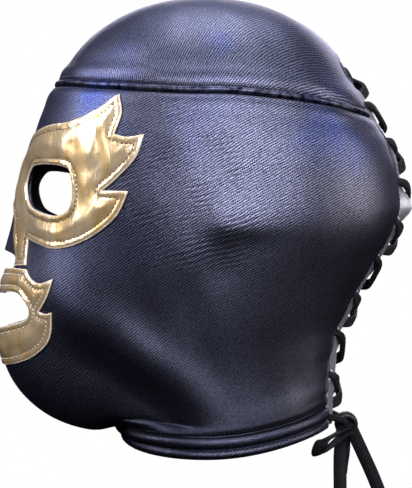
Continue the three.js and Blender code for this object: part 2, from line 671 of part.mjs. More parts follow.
function laceBow() {
  const ball = new THREE.SphereGeometry(1, 9, 6);
  ball.scale(KNOT_HALF.x, KNOT_HALF.y, KNOT_HALF.z).translate(...knot);
  const leftLoop = ribbon(LEFT_LOOP, LOOP_STEPS, new THREE.Vector3(0.2, 0.9, 0.4), SIX_SIDES);
  const rightLoop = ribbon(RIGHT_LOOP, LOOP_STEPS, new THREE.Vector3(0, 1, 0.1), SIX_SIDES);
  return geometryOf(solid(ball).add(solid(leftLoop)).add(solid(rightLoop)));
}

const laceTail = (list, across) => ribbon(list, TAIL_STEPS, across, EIGHT_SIDES);

// Finishes
const finish = (color, roughness, metalness) =>
  new THREE.MeshStandardMaterial({ color, roughness, metalness, side: THREE.DoubleSide });
const satin = finish(0x1b1b26, 0.42, 0.1);
const goldVinyl = finish(0xd8b36a, 0.22, 0.85);
const silverVinyl = finish(0xa9abb0, 0.35, 0.6);
const braid = finish(0x0d0d11, 0.7, 0);

const mask = new THREE.Group();
function piece(name, geometry, material) {
  const mesh = new THREE.Mesh(geometry, material);
  mesh.name = name;
  mask.add(mesh);
}
piece("crown_panel", crownPanel(), satin);
piece("side_panel_left", sidePanel(1), satin);
piece("side_panel_right", sidePanel(-1), satin);
piece("crown_piping", crownPiping(), satin);
piece("neck_band", neckBand(), satin);
piece("eye_surround", eyeSurround(), goldVinyl);
piece("mouth_surround", mouthSurround(), goldVinyl);
piece("lacing_strip_left", lacingStrip(1), silverVinyl);
piece("lacing_strip_right", lacingStrip(-1), silverVinyl);
piece("lace", lace(), braid);
piece("lace_bow", laceBow(), braid);
piece("lace_tail_left", laceTail(LEFT_TAIL, new THREE.Vector3(0, 1, 0.1)), braid);
piece("lace_tail_right", laceTail(RIGHT_TAIL, new THREE.Vector3(0, 0.9, 0.4)), braid);

export default mask;
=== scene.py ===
# %% [markdown]
# # A wrestler's hood in Blender
# The hood is sewn from black stretch satin. A cap covers the crown, two halves cover the face and
# meet behind in a laced slit, and a double band closes the neck. Gold vinyl is stitched on top.
# The plain solids of the hood are already made. This lesson dresses them: each solid gives way to
# a finer mesh in the same place, with the folds, stitches and finish that real cloth has.

import math

import bpy
import numpy as np
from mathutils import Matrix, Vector
from mathutils.geometry import delaunay_2d_cdt
from mathutils.kdtree import KDTree


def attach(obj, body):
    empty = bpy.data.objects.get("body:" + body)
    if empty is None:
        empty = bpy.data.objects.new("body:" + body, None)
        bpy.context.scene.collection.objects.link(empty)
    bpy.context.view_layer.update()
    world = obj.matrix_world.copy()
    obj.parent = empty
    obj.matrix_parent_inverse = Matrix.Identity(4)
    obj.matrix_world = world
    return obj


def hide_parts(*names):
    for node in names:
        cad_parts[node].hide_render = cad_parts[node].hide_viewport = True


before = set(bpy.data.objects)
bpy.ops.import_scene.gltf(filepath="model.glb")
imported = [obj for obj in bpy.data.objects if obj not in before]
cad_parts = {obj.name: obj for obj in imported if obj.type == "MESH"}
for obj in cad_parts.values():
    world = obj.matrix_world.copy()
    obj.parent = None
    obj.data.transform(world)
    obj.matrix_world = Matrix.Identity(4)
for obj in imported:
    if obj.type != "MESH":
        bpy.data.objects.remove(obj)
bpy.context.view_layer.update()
print("solids:", len(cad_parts))

# %% [markdown]
# The camera comes first. It stands level with the middle of the hood, on the wearer's left, and
# its lens is worked out from two facts: it stands 0.8 m away, and a pixel is 0.55 mm there.

# %% Camera
MM = 0.001
PICTURE_HEIGHT = 488
PIXEL = 0.55 * MM
CAMERA_AWAY = 0.8
CAMERA_HEIGHT = -132.7 * MM
SENSOR = 36.0

scene = bpy.context.scene
scene.view_settings.view_transform = "Standard"
camera_data = bpy.data.cameras.new("side_camera")
camera_data.sensor_width = SENSOR
camera_data.lens = SENSOR * CAMERA_AWAY / (PIXEL * PICTURE_HEIGHT)
camera = bpy.data.objects.new("side_camera", camera_data)
camera.location = (CAMERA_AWAY, 0, CAMERA_HEIGHT)
camera.rotation_euler = (math.pi / 2, 0, math.pi / 2)
scene.collection.objects.link(camera)
scene.camera = camera
print("lens:", round(camera_data.lens, 1), "mm")

# %% [markdown]
# Every cloth piece lies on one surface, so that surface is written once. Loops of thread run round
# the head from the crown down to the hem. Each row below is one loop: its level down the cloth,
# how far it has dropped in front, at the sides and behind, how far it reaches, and how square it
# is. Smooth curves join the rows, so any point of the cloth can be found from two numbers, the
# turn round the head (0 in front, 90 degrees on the wearer's left) and the level down it.

# %% The hood's surface
HOOD_DEPTH = 220.0
HOOD_WIDTH = 164.0
HOOD_HEIGHT = 244.0
CLOTH = 1.5
GAP = 0.3
LEVEL_MM = 1.35 * HOOD_HEIGHT
SEAM_LEVEL = 0.291
BAND_LEVEL = 0.964
CHIN_LEVEL = 0.9
COLUMNS = ["level", "drop_front", "drop_side", "drop_back", "front", "side", "back",
           "round_front", "round_back"]
LOOPS = np.array([
    [0.000, 0.000, 0.000, 0.000, 0.000, 0.000, 0.000, 2.00, 2.00],
    [0.082, 0.018, 0.018, 0.018, 0.291, 0.335, 0.273, 2.00, 2.00],
    [0.142, 0.055, 0.057, 0.059, 0.477, 0.558, 0.482, 2.00, 2.05],
    [0.200, 0.105, 0.115, 0.125, 0.609, 0.738, 0.643, 2.00, 2.10],
    [0.291, 0.194, 0.232, 0.268, 0.745, 0.908, 0.823, 2.05, 2.15],
    [0.358, 0.277, 0.307, 0.334, 0.836, 0.974, 0.909, 2.00, 2.20],
    [0.436, 0.383, 0.404, 0.420, 0.886, 0.994, 0.955, 1.92, 2.25],
    [0.506, 0.477, 0.490, 0.498, 0.905, 0.994, 0.950, 1.88, 2.25],
    [0.570, 0.564, 0.570, 0.572, 0.945, 0.970, 0.864, 1.85, 2.20],
    [0.618, 0.629, 0.629, 0.629, 1.009, 0.933, 0.785, 1.82, 2.15],
    [0.667, 0.695, 0.691, 0.686, 1.021, 0.890, 0.720, 1.80, 2.10],
    [0.715, 0.760, 0.748, 0.736, 1.025, 0.848, 0.667, 1.78, 2.10],
    [0.758, 0.818, 0.797, 0.777, 1.005, 0.811, 0.645, 1.78, 2.10],
    [0.800, 0.875, 0.844, 0.809, 0.936, 0.780, 0.636, 1.80, 2.10],
    [0.845, 0.924, 0.883, 0.836, 0.818, 0.762, 0.633, 1.85, 2.10],
    [0.891, 0.954, 0.914, 0.859, 0.682, 0.754, 0.629, 1.90, 2.10],
    [0.933, 0.958, 0.936, 0.879, 0.545, 0.748, 0.626, 2.00, 2.10],
    [0.964, 0.948, 0.953, 0.902, 0.455, 0.744, 0.622, 2.05, 2.10],
    [1.000, 0.984, 1.000, 0.949, 0.395, 0.744, 0.618, 2.05, 2.10],
])
GHOSTS = 3  # rows mirrored past the top, so that each curve runs smoothly over it
NOSE_TOP, NOSE_TIP, NOSE_BASE = 0.277, 0.555, 0.588  # drops, as shares of the hood's height
NOSE_RISE, BRIDGE_HALF, WING_MORE = 7.5, 7.5, 5.5


def spline(places, values):
    steps = np.diff(places)
    slopes = np.diff(values) / steps
    matrix, right = np.eye(len(places)), np.zeros(len(places))
    for i in range(1, len(places) - 1):
        matrix[i, i - 1:i + 2] = steps[i - 1], 2 * (steps[i - 1] + steps[i]), steps[i]
        right[i] = 6 * (slopes[i] - slopes[i - 1])
    bends = np.linalg.solve(matrix, right)

    def curve(place):
        i = np.clip(np.searchsorted(places, place) - 1, 0, len(steps) - 1)
        b = (place - places[i]) / steps[i]
        a = 1 - b
        bent = (a ** 3 - a) * bends[i] + (b ** 3 - b) * bends[i + 1]
        return a * values[i] + b * values[i + 1] + bent * steps[i] ** 2 / 6
    return curve


def column_spline(name):
    column = LOOPS[:, COLUMNS.index(name)]
    sign = -1 if name in ("front", "side", "back") else 1
    ghosts = sign * column[GHOSTS:0:-1]
    places = np.concatenate([-LOOPS[GHOSTS:0:-1, 0], LOOPS[:, 0]])
    return spline(places, np.concatenate([ghosts, column]))


loop = {name: column_spline(name) for name in COLUMNS[1:]}


def smooth(x):
    x = np.clip(x, 0, 1)
    return x * x * (3 - 2 * x)


def height_at(drop):
    return CLOTH - drop * HOOD_HEIGHT


def nose_ridge(x, z):
    top, tip, base = (height_at(drop) for drop in (NOSE_TOP, NOSE_TIP, NOSE_BASE))
    down, under = smooth((top - z) / (top - tip)), smooth((z - base) / (tip - base))
    return NOSE_RISE * down * under * np.exp(-(x / (BRIDGE_HALF + WING_MORE * down)) ** 2)


def on_cloth(turn, level):
    turn, level = np.broadcast_arrays(np.asarray(turn, float), np.asarray(level, float))
    front = np.cos(turn) >= 0
    along, across = np.abs(np.cos(turn)), np.abs(np.sin(turn))
    reach = np.where(front, loop["front"](level), loop["back"](level)) * HOOD_DEPTH / 2
    side = loop["side"](level) * HOOD_WIDTH / 2
    power = np.where(front, loop["round_front"](level), loop["round_back"](level))
    radius = ((across / side) ** power + (along / reach) ** power) ** (-1 / power)
    drop_end = np.where(front, loop["drop_front"](level), loop["drop_back"](level))
    drop_side = loop["drop_side"](level)
    z = height_at(drop_side + (drop_end - drop_side) * along ** 2)
    x = radius * np.sin(turn)
    y = -radius * np.cos(turn) - np.where(front, nose_ridge(x, z), 0)
    return np.stack([x, y, z], -1)


def unit(v):
    return v / np.maximum(np.linalg.norm(v, axis=-1, keepdims=True), 1e-12)


def cloth_normal(turn, level):
    along_turn = on_cloth(turn + 1e-3, level) - on_cloth(turn - 1e-3, level)
    along_level = on_cloth(turn, level + 2e-4) - on_cloth(turn, level - 2e-4)
    return unit(np.cross(along_level, along_turn))


def halving(too_low, low, high, count=40):
    """Finds where a test turns from true to false, by halving the span again and again."""
    for _ in range(count):
        middle = (low + high) / 2
        test = too_low(middle)
        low, high = np.where(test, middle, low), np.where(test, high, middle)
    return (low + high) / 2


def level_at(turn, z):
    zero = np.zeros(np.broadcast(turn, z).shape)
    return halving(lambda lv: on_cloth(turn, lv)[..., 2] > z, zero + 0.01, zero + CHIN_LEVEL)


def turn_at_back(x, level):
    zero = np.zeros(np.broadcast(x, level).shape)
    return halving(lambda t: on_cloth(t, level)[..., 0] > x, zero + math.pi / 2, zero + math.pi)


print("widest loop:", round(float(loop["side"](0.47)) * HOOD_WIDTH), "mm")

# %% [markdown]
# Cloth that is pulled over a head isn't an even shell. It sinks into its seams and stands up
# beside them, stands out over the ear and dips under it, turns under along the jaw, and is drawn
# into small waves by the lace. All of that is one number, how far the cloth stands off the smooth
# surface, so the black panels and the vinyl sewn on them share it and never cut through each other.

# %% Relief of the cloth
SLIT_HALF = 22.0
SEAM_GROOVE, SEAM_RIDGE, SEAM_AWAY = (-2.3, 2.5), (0.9, 4.5), 8.0  # height and half width, in mm
BAND_GROOVE, BAND_RIDGE, BAND_AWAY = (-1.0, 2.0), (0.35, 4.5), 7.0
FRONT_SEAM_DEPTH, FRONT_SEAM_HALF, FRONT_SEAM_TOP = 0.5, 1.4, 0.19
EAR_TOP, EAR_HEIGHT = (12.0, -123.0), 2.7  # its place in y and z, and how far it stands out
EAR_ABOVE, EAR_BELOW, EAR_AHEAD, EAR_BEHIND = 15.0, 8.0, 11.0, 30.0  # it ends sharply below
HOLLOW, HOLLOW_DEPTH, HOLLOW_REACH, HOLLOW_RISE = (8.0, -144.0), 1.3, 11.0, 12.0
SIDE_START = 40.0  # the ear and its hollow lie further out than this
JAW_Y, JAW_Z = [-80, -53, -28, -7, 30], [-169, -178, -196, -210, -232]  # the line of the jaw
JAW_DEPTH, JAW_FALL, JAW_RIDGE, RIDGE_UP, RIDGE_HALF = 5.5, 26.0, 3.0, 5.0, 13.0
JAW_TURN, JAW_BLEND, JAW_BACK, RIDGE_BACK, JAW_FADE, JAW_FOOT = 20.0, 24.0, 10.0, 16.0, 30.0, 14.0
RIPPLES = [  # waves round the head, waves down it, phase, height in mm
    (0.11, 0.031, 0.4, 0.16), (-0.067, 0.083, 1.9, 0.14), (0.19, -0.052, 3.1, 0.08),
    (0.043, 0.147, 5.0, 0.10), (-0.23, 0.12, 2.2, 0.05),
]
RIPPLE_START = 0.2  # the level at which they have their full height
PULL_PITCH, PULL_HEIGHT, PULL_REACH = 22.5, 0.35, 12.0  # the lace's pulls beside the slit
FLAT_RADIUS = 90.0  # the flat patterns count a full turn as the way round a circle this large


def bump(x, half):
    return np.exp(-(x / half) ** 2)


def mound(y, z, middle, reach, rise):
    return np.exp(-((y - middle[0]) / reach) ** 2 - ((z - middle[1]) / rise) ** 2)


slit_levels = np.linspace(SEAM_LEVEL, 1, 300)
slit_turns = turn_at_back(SLIT_HALF, slit_levels)


def slit_turn(level):
    return np.interp(np.maximum(level, SEAM_LEVEL), slit_levels, slit_turns)


def relief(turn, level):
    turn, level = np.broadcast_arrays(np.asarray(turn, float), np.asarray(level, float))
    x, y, z = np.moveaxis(on_cloth(turn, level), -1, 0)
    out = np.abs(turn)
    seam = (level - SEAM_LEVEL) * LEVEL_MM
    band = (level - BAND_LEVEL) * LEVEL_MM
    stands = SEAM_GROOVE[0] * bump(seam, SEAM_GROOVE[1])
    stands = stands + SEAM_RIDGE[0] * bump(np.abs(seam) - SEAM_AWAY, SEAM_RIDGE[1])
    stands = stands + BAND_GROOVE[0] * bump(band, BAND_GROOVE[1])
    stands = stands + BAND_RIDGE[0] * bump(band + BAND_AWAY, BAND_RIDGE[1])
    rise = np.where(z > EAR_TOP[1], EAR_ABOVE, EAR_BELOW)
    reach = np.where(y < EAR_TOP[0], EAR_AHEAD, EAR_BEHIND)
    ear = EAR_HEIGHT * mound(y, z, EAR_TOP, reach, rise)
    dip = HOLLOW_DEPTH * mound(y, z, HOLLOW, HOLLOW_REACH, HOLLOW_RISE)
    stands = stands + (ear - dip) * (np.abs(x) > SIDE_START)
    jaw_line = np.interp(y, JAW_Y, JAW_Z)
    at_side = smooth((np.degrees(out) - JAW_TURN) / JAW_BLEND)
    above_band = smooth(-band / JAW_FOOT)
    jaw = smooth((jaw_line - z) / JAW_FALL) * at_side
    jaw = jaw * smooth((JAW_BACK - y) / JAW_FADE) * above_band
    ridge = JAW_RIDGE * bump(z - jaw_line - RIDGE_UP, RIDGE_HALF) * at_side
    stands = stands - JAW_DEPTH * jaw + ridge * smooth((RIDGE_BACK - y) / JAW_FADE) * above_band
    front_seam = np.where(z < height_at(FRONT_SEAM_TOP), bump(x, FRONT_SEAM_HALF), 0) * (out < 1)
    stands = stands - FRONT_SEAM_DEPTH * front_seam
    u, v = turn * FLAT_RADIUS, level * LEVEL_MM
    for along, down, phase, height in RIPPLES:
        wave_here = np.sin(along * u + down * v + phase)
        stands = stands + height * wave_here * smooth(level / RIPPLE_START)
    edge = (slit_turn(level) - out) * FLAT_RADIUS
    pulled = np.cos(2 * math.pi * v / PULL_PITCH) * np.exp(-np.maximum(edge, 0) / PULL_REACH)
    return stands + PULL_HEIGHT * pulled * (seam > 0)


def skin(turn, level, offset=0.0):
    off = relief(turn, level) + offset
    return on_cloth(turn, level) + cloth_normal(turn, level) * np.asarray(off)[..., None]


print("relief at the ear:", round(float(relief(1.77, 0.54)), 2), "mm")

# %% [markdown]
# A flat shape with holes is filled with triangles much as a tailor's pattern is cut: the outline is
# exact and the inside is an even mesh. The pattern is then laid on the surface. Each vertex knows
# how far it lies from an edge, so an edge can be turned, and a line of stitches can follow it.

# %% Cutting a pattern
def resample(points, spacing, closed=True):
    points = np.asarray(points, float)
    if closed:
        points = np.vstack([points, points[:1]])
    kept = [points[0]]
    for before, here, after in zip(points[:-2], points[1:-1], points[2:]):
        bend = unit(here - before) @ unit(after - here)
        if np.linalg.norm(here - kept[-1]) > 0.7 * spacing or bend < 0.85:
            kept.append(here)
    kept.append(points[-1])
    filled = []
    for a, b in zip(kept[:-1], kept[1:]):
        parts = max(1, round(np.linalg.norm(b - a) / spacing))
        filled += [a + (b - a) * k / parts for k in range(parts)]
    return np.array(filled if closed else filled + [kept[-1]])


def inside(points, loops):
    odd = np.zeros(len(points), bool)
    for ring in loops:
        for (x1, y1), (x2, y2) in zip(ring, np.roll(ring, -1, axis=0)):
            rises = (y1 > points[:, 1]) != (y2 > points[:, 1])
            slope = (x2 - x1) / (y2 - y1) if y1 != y2 else 0.0
            odd ^= rises & (points[:, 0] < x1 + slope * (points[:, 1] - y1))
    return odd


def nearest(points, targets):
    spots = [[Vector(np.append(p, 0.0)[:3]) for p in group] for group in (points, targets)]
    tree = KDTree(len(targets))
    for i, p in enumerate(spots[1]):
        tree.insert(p, i)
    tree.balance()
    return np.array([tree.find(p)[2] for p in spots[0]])


def cut(loops, spacing):
    """Points and triangles of a flat outline with holes."""
    rings = [resample(ring, spacing) for ring in loops]
    edge = np.vstack(rings)
    low, high = edge.min(0), edge.max(0)
    across = np.arange(low[0], high[0], spacing)
    ys = np.arange(low[1], high[1], spacing * math.sqrt(3) / 2)
    grid = np.vstack([np.stack([across + (k % 2) * spacing / 2, np.full(len(across), y)], -1)
                      for k, y in enumerate(ys)])
    grid = grid[inside(grid, rings)]
    grid = grid[nearest(grid, edge) > 0.62 * spacing]
    sides, start = [], 0
    for ring in rings:
        count = len(ring)
        sides += [(start + i, start + (i + 1) % count) for i in range(count)]
        start += count
    points = np.vstack([edge, grid])
    made = delaunay_2d_cdt([Vector(p) for p in points], sides, [], 0, 1e-6, False)
    points, triangles = np.array([tuple(p) for p in made[0]]), np.array(made[2])
    return points, triangles[inside(points[triangles].mean(1), rings)]


def curve_through(table, closed, steps=10):
    """A table of turn and drop, with a 1 at a corner, as a curve smooth between its corners."""
    rows = [np.array([*row, 0][:3], float) for row in table]
    count = len(rows)
    at = (lambda i: rows[i % count]) if closed else (lambda i: rows[min(max(i, 0), count - 1)])
    points = []
    for i in range(count if closed else count - 1):
        here, there = at(i), at(i + 1)
        before = here if here[2] else at(i - 1)
        after = there if there[2] else at(i + 2)
        for t in np.arange(steps) / steps:
            bent = 2 * here + (there - before) * t
            bent = bent + (2 * before - 5 * here + 4 * there - after) * t * t
            bent = bent + (3 * here - before - 3 * there + after) * t ** 3
            points.append(bent[:2] / 2)
    return np.array(points if closed else points + [rows[-1][:2]])


def on_flat(outline):
    turn, z = np.radians(outline[:, 0]), height_at(outline[:, 1])
    return np.stack([turn * FLAT_RADIUS, level_at(turn, z) * LEVEL_MM], -1)


def mirrored(points):
    return (points * [-1, 1])[::-1]


def whole(half):
    return np.vstack([half, mirrored(half)[1:-1]])


def lay(flat):
    """Turn and level of flat pattern points."""
    return flat[:, 0] / FLAT_RADIUS, flat[:, 1] / LEVEL_MM


EYE_OPENING = [
    [11.2, 0.418], [15.8, 0.385], [22.0, 0.379], [29.2, 0.381], [35.0, 0.386],
    [38.5, 0.397], [40.0, 0.434], [39.5, 0.466], [36.8, 0.484], [30.8, 0.490],
    [21.5, 0.478], [15.0, 0.460],
]
NOSE_OPENING = [
    [0, 0.569], [4.5, 0.571], [8.5, 0.579], [10.6, 0.591], [9.0, 0.602],
    [0, 0.604],
]
MOUTH_OPENING = [
    [0, 0.660], [7, 0.656], [16, 0.655], [19.5, 0.668], [21.8, 0.690],
    [20.5, 0.711], [14.5, 0.724], [5, 0.736], [0, 0.738],
]
EYE_FACING = [
    [0, 0.326], [14, 0.306], [26, 0.296], [37, 0.293], [47, 0.275],
    [57, 0.242, 1], [59, 0.282], [57, 0.324, 1], [62, 0.331], [68, 0.326, 1],
    [65, 0.374], [58, 0.416], [52.5, 0.440, 1], [62.5, 0.442, 1], [58, 0.492],
    [49.5, 0.530], [41, 0.552], [32, 0.560], [24, 0.550], [17, 0.538, 1],
    [18, 0.566], [19.5, 0.596, 1], [12.8, 0.598, 1], [8.8, 0.560], [6.2, 0.528],
    [4.2, 0.490], [0, 0.458],
]
MOUTH_FACING = [
    [0, 0.6055], [9, 0.604], [12.4, 0.603, 1], [20.2, 0.605, 1], [23.5, 0.626],
    [27.5, 0.634], [33, 0.624, 1], [30.5, 0.660], [26, 0.694, 1], [28.5, 0.698],
    [31.5, 0.694, 1], [29, 0.744], [25, 0.776], [18.5, 0.800], [10, 0.814],
    [0, 0.819],
]
eye_flat = on_flat(curve_through(EYE_OPENING, True))
nose_flat = on_flat(curve_through(NOSE_OPENING, False))
mouth_flat = on_flat(curve_through(MOUTH_OPENING, False))
print("eye opening:", len(eye_flat), "points on its outline")

# %% [markdown]
# A sheet of cloth has two sides. This helper takes the outer and the inner side of a cut pattern
# and closes them along every edge, so the result is a real wall with a thickness. Each point also
# keeps a few numbers for the finishes: whether it lies inside, how far it is from an edge, and how
# far it stands above the bottom of the seam beside it, which sets the satin's painted shade there.

# %% Sewing a wall
pieces = []
SHARP, BRAID_SHARP = 40, 70  # degrees


def new_object(name, mesh, material=None):
    if material:
        mesh.materials.append(material)
    made = bpy.data.objects.new(name, mesh)
    scene.collection.objects.link(made)
    return made


def dress(made, slot, nodes=(), **sheet):
    """Puts a piece on the hood's one body, in place of the plain solids that it stands for."""
    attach(made, "root")
    if nodes:
        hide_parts(*nodes)
    pieces.append(made)
    faces = made.data.polygons
    print(f"{made.name}: {len(faces)} faces, {sum(face.area for face in faces):.4f} m2")
    return made


def keep_values(mesh, values):
    for key, value in values.items():
        mesh.attributes.new(key, "FLOAT", "POINT")
        mesh.attributes[key].data.foreach_set("value", np.asarray(value, np.float32))


def mesh_from(name, points, faces, uv, values=None, sharp=SHARP):
    """points in mm; uv in mm on the flat cloth; values are extra numbers kept on each point."""
    mesh = bpy.data.meshes.new(name)
    mesh.from_pydata((np.asarray(points) * MM).tolist(), [], [list(f) for f in faces])
    layer = mesh.uv_layers.new(name="cloth")
    corner = np.zeros(len(mesh.loops), np.int32)
    mesh.loops.foreach_get("vertex_index", corner)
    layer.data.foreach_set("uv", (np.asarray(uv)[corner]).astype(np.float32).ravel())
    keep_values(mesh, values or {})
    mesh.validate()
    mesh.shade_smooth()
    mesh.set_sharp_from_angle(angle=math.radians(sharp))
    return mesh


def rim_of(triangles):
    """Edges that only one triangle uses, in the direction in which it uses them."""
    sides = np.concatenate([triangles[:, [0, 1]], triangles[:, [1, 2]], triangles[:, [2, 0]]])
    keys = np.sort(sides, axis=1) @ [1 << 32, 1]
    _, first, uses = np.unique(keys, return_index=True, return_counts=True)
    return sides[first[uses == 1]]


def wall(name, flat, triangles, outer, inner, values):
    a, b, c = (outer[triangles[:, k]] for k in range(3))
    facing = np.einsum("ij,ij->i", np.cross(b - a, c - a), (outer - inner)[triangles[:, 0]])
    if facing.sum() < 0:
        triangles = triangles[:, ::-1]
    count = len(outer)
    sides = [(j, i, i + count, j + count) for i, j in rim_of(triangles)]
    faces = triangles.tolist() + (triangles[:, ::-1] + count).tolist() + sides
    both = {key: np.concatenate([value, value]) for key, value in values.items()}
    both["inside"] = np.repeat([0.0, 1.0], count)
    return mesh_from(name, np.vstack([outer, inner]), faces, np.vstack([flat, flat]), both)


def edge_distance(points, rings):
    """How far each point is, in mm, from the nearest of these lines of points."""
    return nearest(points, np.vstack([resample(ring, 0.5, False) for ring in rings]))


print("helpers ready")

# %% [markdown]
# Finishes. A Noise texture's scale counts its waves in a metre, so 260 is one for each 4 mm. Two
# numbers kept on the points are read as attributes: "inside" is 1 on a piece's inner side, and
# "edge" its distance from an edge. One helper adds any node.

# %% Material helpers
ALL = slice(None)


def linear(hex_colour):
    channels = [int(hex_colour[i:i + 2], 16) / 255 for i in (1, 3, 5)]
    return tuple(c / 12.92 if c <= 0.04045 else ((c + 0.055) / 1.055) ** 2.4
                 for c in channels) + (1.0,)


def new_material(name):
    material = bpy.data.materials.new(name)
    material.use_nodes = True
    material.node_tree.nodes.clear()
    return material, material.node_tree


def add(tree, kind, *inputs, out=0, stops=(), **named):
    """Adds a node and gives back one of its outputs. A word after a dot is its operation. Inputs
    come in order, by name or by number, and each is a value, a hex colour or another output.
    Names in small letters are settings of the node itself, and stops are those of a ramp."""
    kind, _, operation = kind.partition(".")
    node = tree.nodes.new(kind if "Node" in kind else "ShaderNode" + kind)
    if operation:
        node.operation = operation
    while stops and len(node.color_ramp.elements) < len(stops):
        node.color_ramp.elements.new(0.5)
    for element, (place, colour) in zip(node.color_ramp.elements if stops else (), stops):
        element.position, element.color = place, linear(colour)
    for key in [key for key in named if key.islower()]:
        setattr(node, key, named.pop(key))
    links = {int(key[1:]) if key[0] == "_" else key.replace("_", " "): value
             for key, value in named.items()}
    for key, value in [*enumerate(inputs), *links.items()]:
        if isinstance(value, bpy.types.NodeSocket):
            tree.links.new(value, node.inputs[key])
        else:
            is_colour = isinstance(value, str) and value.startswith("#")
            node.inputs[key].default_value = linear(value) if is_colour else value
    return node.outputs[out] if node.outputs else node


print("one helper adds every node")

# %% [markdown]
# The satin is polyester with a diagonal twill. Its long floating threads mirror the lamps as
# a metal does, so the gleam is metallic and the cloth between the threads is nearly black: that
# gives the eye a deep black that is crossed by tiny bright ticks, with no milky haze. At fixed
# spots the gleam is painted violet-blue, a painted reflection of sky. Fine drag lines round the ear
# come from its being stretched. Beside the seams the satin is painted darker, a painted shade of
# the folds, where the "seam" attribute says how many millimetres the cloth stands above the bottom
# of the fold. The twill of the real cloth is about 0.4 mm, too fine for the picture, so it is drawn
# at 1.3 mm.

# %% Satin
TWILL, TWILL_SLOPE = 1.3, math.radians(33)
DRAG_LINES, DRAG_SLOPE = 2.9, math.radians(15)
DRAG_CENTRE, DRAG_REACH = (0.074, -0.004, -0.098), 0.060
SATIN_BLACK, SATIN_LINING = "#08070f", "#050507"
# The violet colour is a painted reflection of sky, laid on the gleam at fixed spots.
SATIN_GLEAM, SATIN_PAINTED_SKY, SATIN_RIM = "#8b8ca0", "#6378c6", "#dedff4"
# Painted shade of the folds: the heights in mm between which it fades out, and its darkest share.
PAINTED_FOLD_HEIGHTS, PAINTED_FOLD_DARKEST = (0.3, 3.2), 0.28  # darkest and lightest height in mm; darkest shade
# Painted reflection: the gleam is painted violet-blue at these fixed spots, as if sky were mirrored
# there.
PAINTED_SKY_SPOTS = [  # place in m, radius in m, strength; the same on both sides
    ((0.054, 0.063, -0.070), 0.036, 1.0), ((0.052, -0.050, -0.060), 0.032, 1.0),
    ((0.068, -0.015, -0.072), 0.045, 0.25), ((0.046, -0.044, -0.036), 0.020, 0.9),
    ((0.058, 0.006, -0.034), 0.012, 0.7), ((0.060, -0.060, -0.140), 0.045, 0.2),
]


def wave(tree, u, v, period, slope):
    """Two terms. Their sum grows by a full turn from rib to rib, for ribs of a period in mm that
    rise at a slope across the flat cloth; their difference does so for ribs that fall."""
    return (add(tree, "Math.MULTIPLY", u, 2 * math.pi / period * math.sin(slope)),
            add(tree, "Math.MULTIPLY", v, 2 * math.pi / period * math.cos(slope)))


def weave_of(tree, u, v, spot):
    """Twill ribs crossed by floats, from -1 to 1. A slow noise lets the ribs stray a little."""
    stray = add(tree, "Math.MULTIPLY", add(tree, "TexNoise", Vector=spot, Scale=260.0,
                                           Detail=1.0), 6.0)
    ribs = add(tree, "Math.SINE", add(tree, "Math.ADD", stray, add(
        tree, "Math.ADD", *wave(tree, u, v, TWILL, TWILL_SLOPE))))
    floats = add(tree, "Math.SINE", add(
        tree, "Math.SUBTRACT", *wave(tree, u, v, TWILL, math.pi / 2 - TWILL_SLOPE)))
    return add(tree, "Math.MULTIPLY", ribs, add(
        tree, "Math.ADD", add(tree, "Math.MULTIPLY", floats, 0.5), 0.5))


def spot_mask(tree, place, centre, radius, core, strength=1.0):
    """Falls from a strength inside a core, a share of the radius, to 0 at the radius."""
    away = add(tree, "VectorMath.DISTANCE", place, centre, out="Value")
    return add(tree, "MapRange", away, radius, radius * core, 0.0, strength)


def drag_of(tree, u, v, spot, place, clouds):
    """Lines where the cloth is dragged over the ear, broken up by a noise."""
    lines = add(tree, "Math.SINE", add(
        tree, "Math.ADD", add(tree, "Math.MULTIPLY", clouds, 18.0), add(
            tree, "Math.ADD", *wave(tree, u, v, DRAG_LINES, DRAG_SLOPE))))
    broken = add(tree, "MapRange", add(tree, "TexNoise", Vector=spot, Scale=70.0), 0.42, 0.62)
    near = spot_mask(tree, place, DRAG_CENTRE, DRAG_REACH, 0.4)
    return add(tree, "Math.MULTIPLY", lines, add(tree, "Math.MULTIPLY", near, broken))


# Painted reflection: how much painted sky colour each place gets.
def painted_sky_of(tree, place, clouds):
    patch = 0.0
    for centre, radius, strength in PAINTED_SKY_SPOTS:
        near = spot_mask(tree, place, centre, radius, 0.2, strength)
        patch = add(tree, "Math.MAXIMUM", near, patch)
    return add(tree, "Math.MULTIPLY", patch, add(tree, "MapRange", clouds, 0.38, 0.62))


